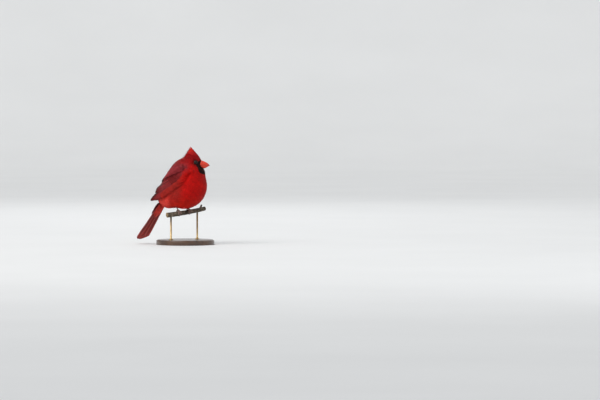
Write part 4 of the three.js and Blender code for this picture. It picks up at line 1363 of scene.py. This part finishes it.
BASE_RADIUS = 58.0
BASE_HEIGHT = 10.0
EDGE_RADIUS = 1.6
ROD_RADIUS = 1.7
ROD_PLACES = {"stand_rod_near": -29.0, "stand_rod_far": 36.0}
# The ring at the foot of a rod: radius and height over its underside
ROD_RING = ((4.3, 1.0), (3.2, 1.25), (2.6, 1.7), (2.3, 2.4), (ROD_RADIUS, 3))


def arc(middle, radius, first, last, steps):
    """Points on an arc of a profile, (r, z)."""
    r, z = middle
    return [(r + radius * cos(a), z + radius * sin(a)) for a in np.linspace(first, last, steps)]


def make_stand():
    profile = [(0.5, 0.0), (BASE_RADIUS - 3, 0.0)]
    profile += arc((BASE_RADIUS - 0.8, 0.8), 0.8, -pi / 2, 0, 5)
    rim = BASE_RADIUS - EDGE_RADIUS
    profile += arc((rim, BASE_HEIGHT - EDGE_RADIUS - 1.2), EDGE_RADIUS, 0, pi / 2 * 0.9, 8)
    profile += arc((rim - 1.4, BASE_HEIGHT - 1), 1.0, 0, pi / 2, 6)
    profile += [(BASE_RADIUS - 8, BASE_HEIGHT), (0.5, BASE_HEIGHT)]
    verts, faces = lathe(profile, 160, np.zeros(3))
    new_piece("stand_base_wood", verts, faces, "wood", "stand_wood", ("stand_base",))
    for name, w in ROD_PLACES.items():
        x, y, z = perch_line(w)
        top = z - 0.4 * perch_radius(w)
        low = BASE_HEIGHT + GAP
        profile = [(0.2, low), (4.8, low)] + arc((4.5, low + 0.4), 0.5, -pi / 3, pi / 3, 5)
        profile += [(radius, low + height) for radius, height in ROD_RING]
        profile += [(ROD_RADIUS, top), (0.2, top)]
        verts, faces = lathe(profile, 40, np.array([x, y, 0]))
        new_piece(f"{name}_brass", verts, faces, "brass", "stand_metal", (name,))


# The whole model

make_camera()
make_lights()
make_floor()
MATERIALS = {
    "skin": plumage_material("skin", 0.85, 0.1, 0.6),
    "coat": plumage_material("coat", 0.6, 0.16, 0.82),
    "vane": vane_material("vane"),
    "bill": bill_material(),
    "eye": eye_material(),
    "lid": scaly_material("lid", (0.6, 0.55, 0.55), (1, 1, 1)),
    "leg": scaly_material("leg", (0.13, 0.075, 0.06), (0.3, 0.19, 0.15)),
    "claw": claw_material(),
    "bark": bark_material(),
    "cut": bark_material(),
    "wood": wood_material(),
    "brass": brass_material(),
}
verts, normals, triangles = remeshed([*FLESH, *EYES], 1.0, 6)
verts, normals = without_rims(verts, normals)
hull = bared_bill(verts), normals, triangles
solids = {name: node.data for name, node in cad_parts.items()}
trunk = [solids[name] for name in ("torso", "neck")]
trunk_tree = search_tree(*trunk)
wing_tree = search_tree(solids["wing_right"], solids["wing_left"])
make_skin(hull)
make_coat(hull, search_tree(*trunk, solids["head"]), wing_tree)
for side in SIDES:
    bed, wing = make_wing(side, trunk_tree)
    make_edges(side, bed, search_tree(*trunk, wing.data))
make_tail()
make_tail_coverts()
make_crest()
for eye_name, eye in EYES.items():
    make_eye(eye_name, eye)
make_bill()
make_perch()
for side in SIDES:
    make_leg(side)
make_stand()
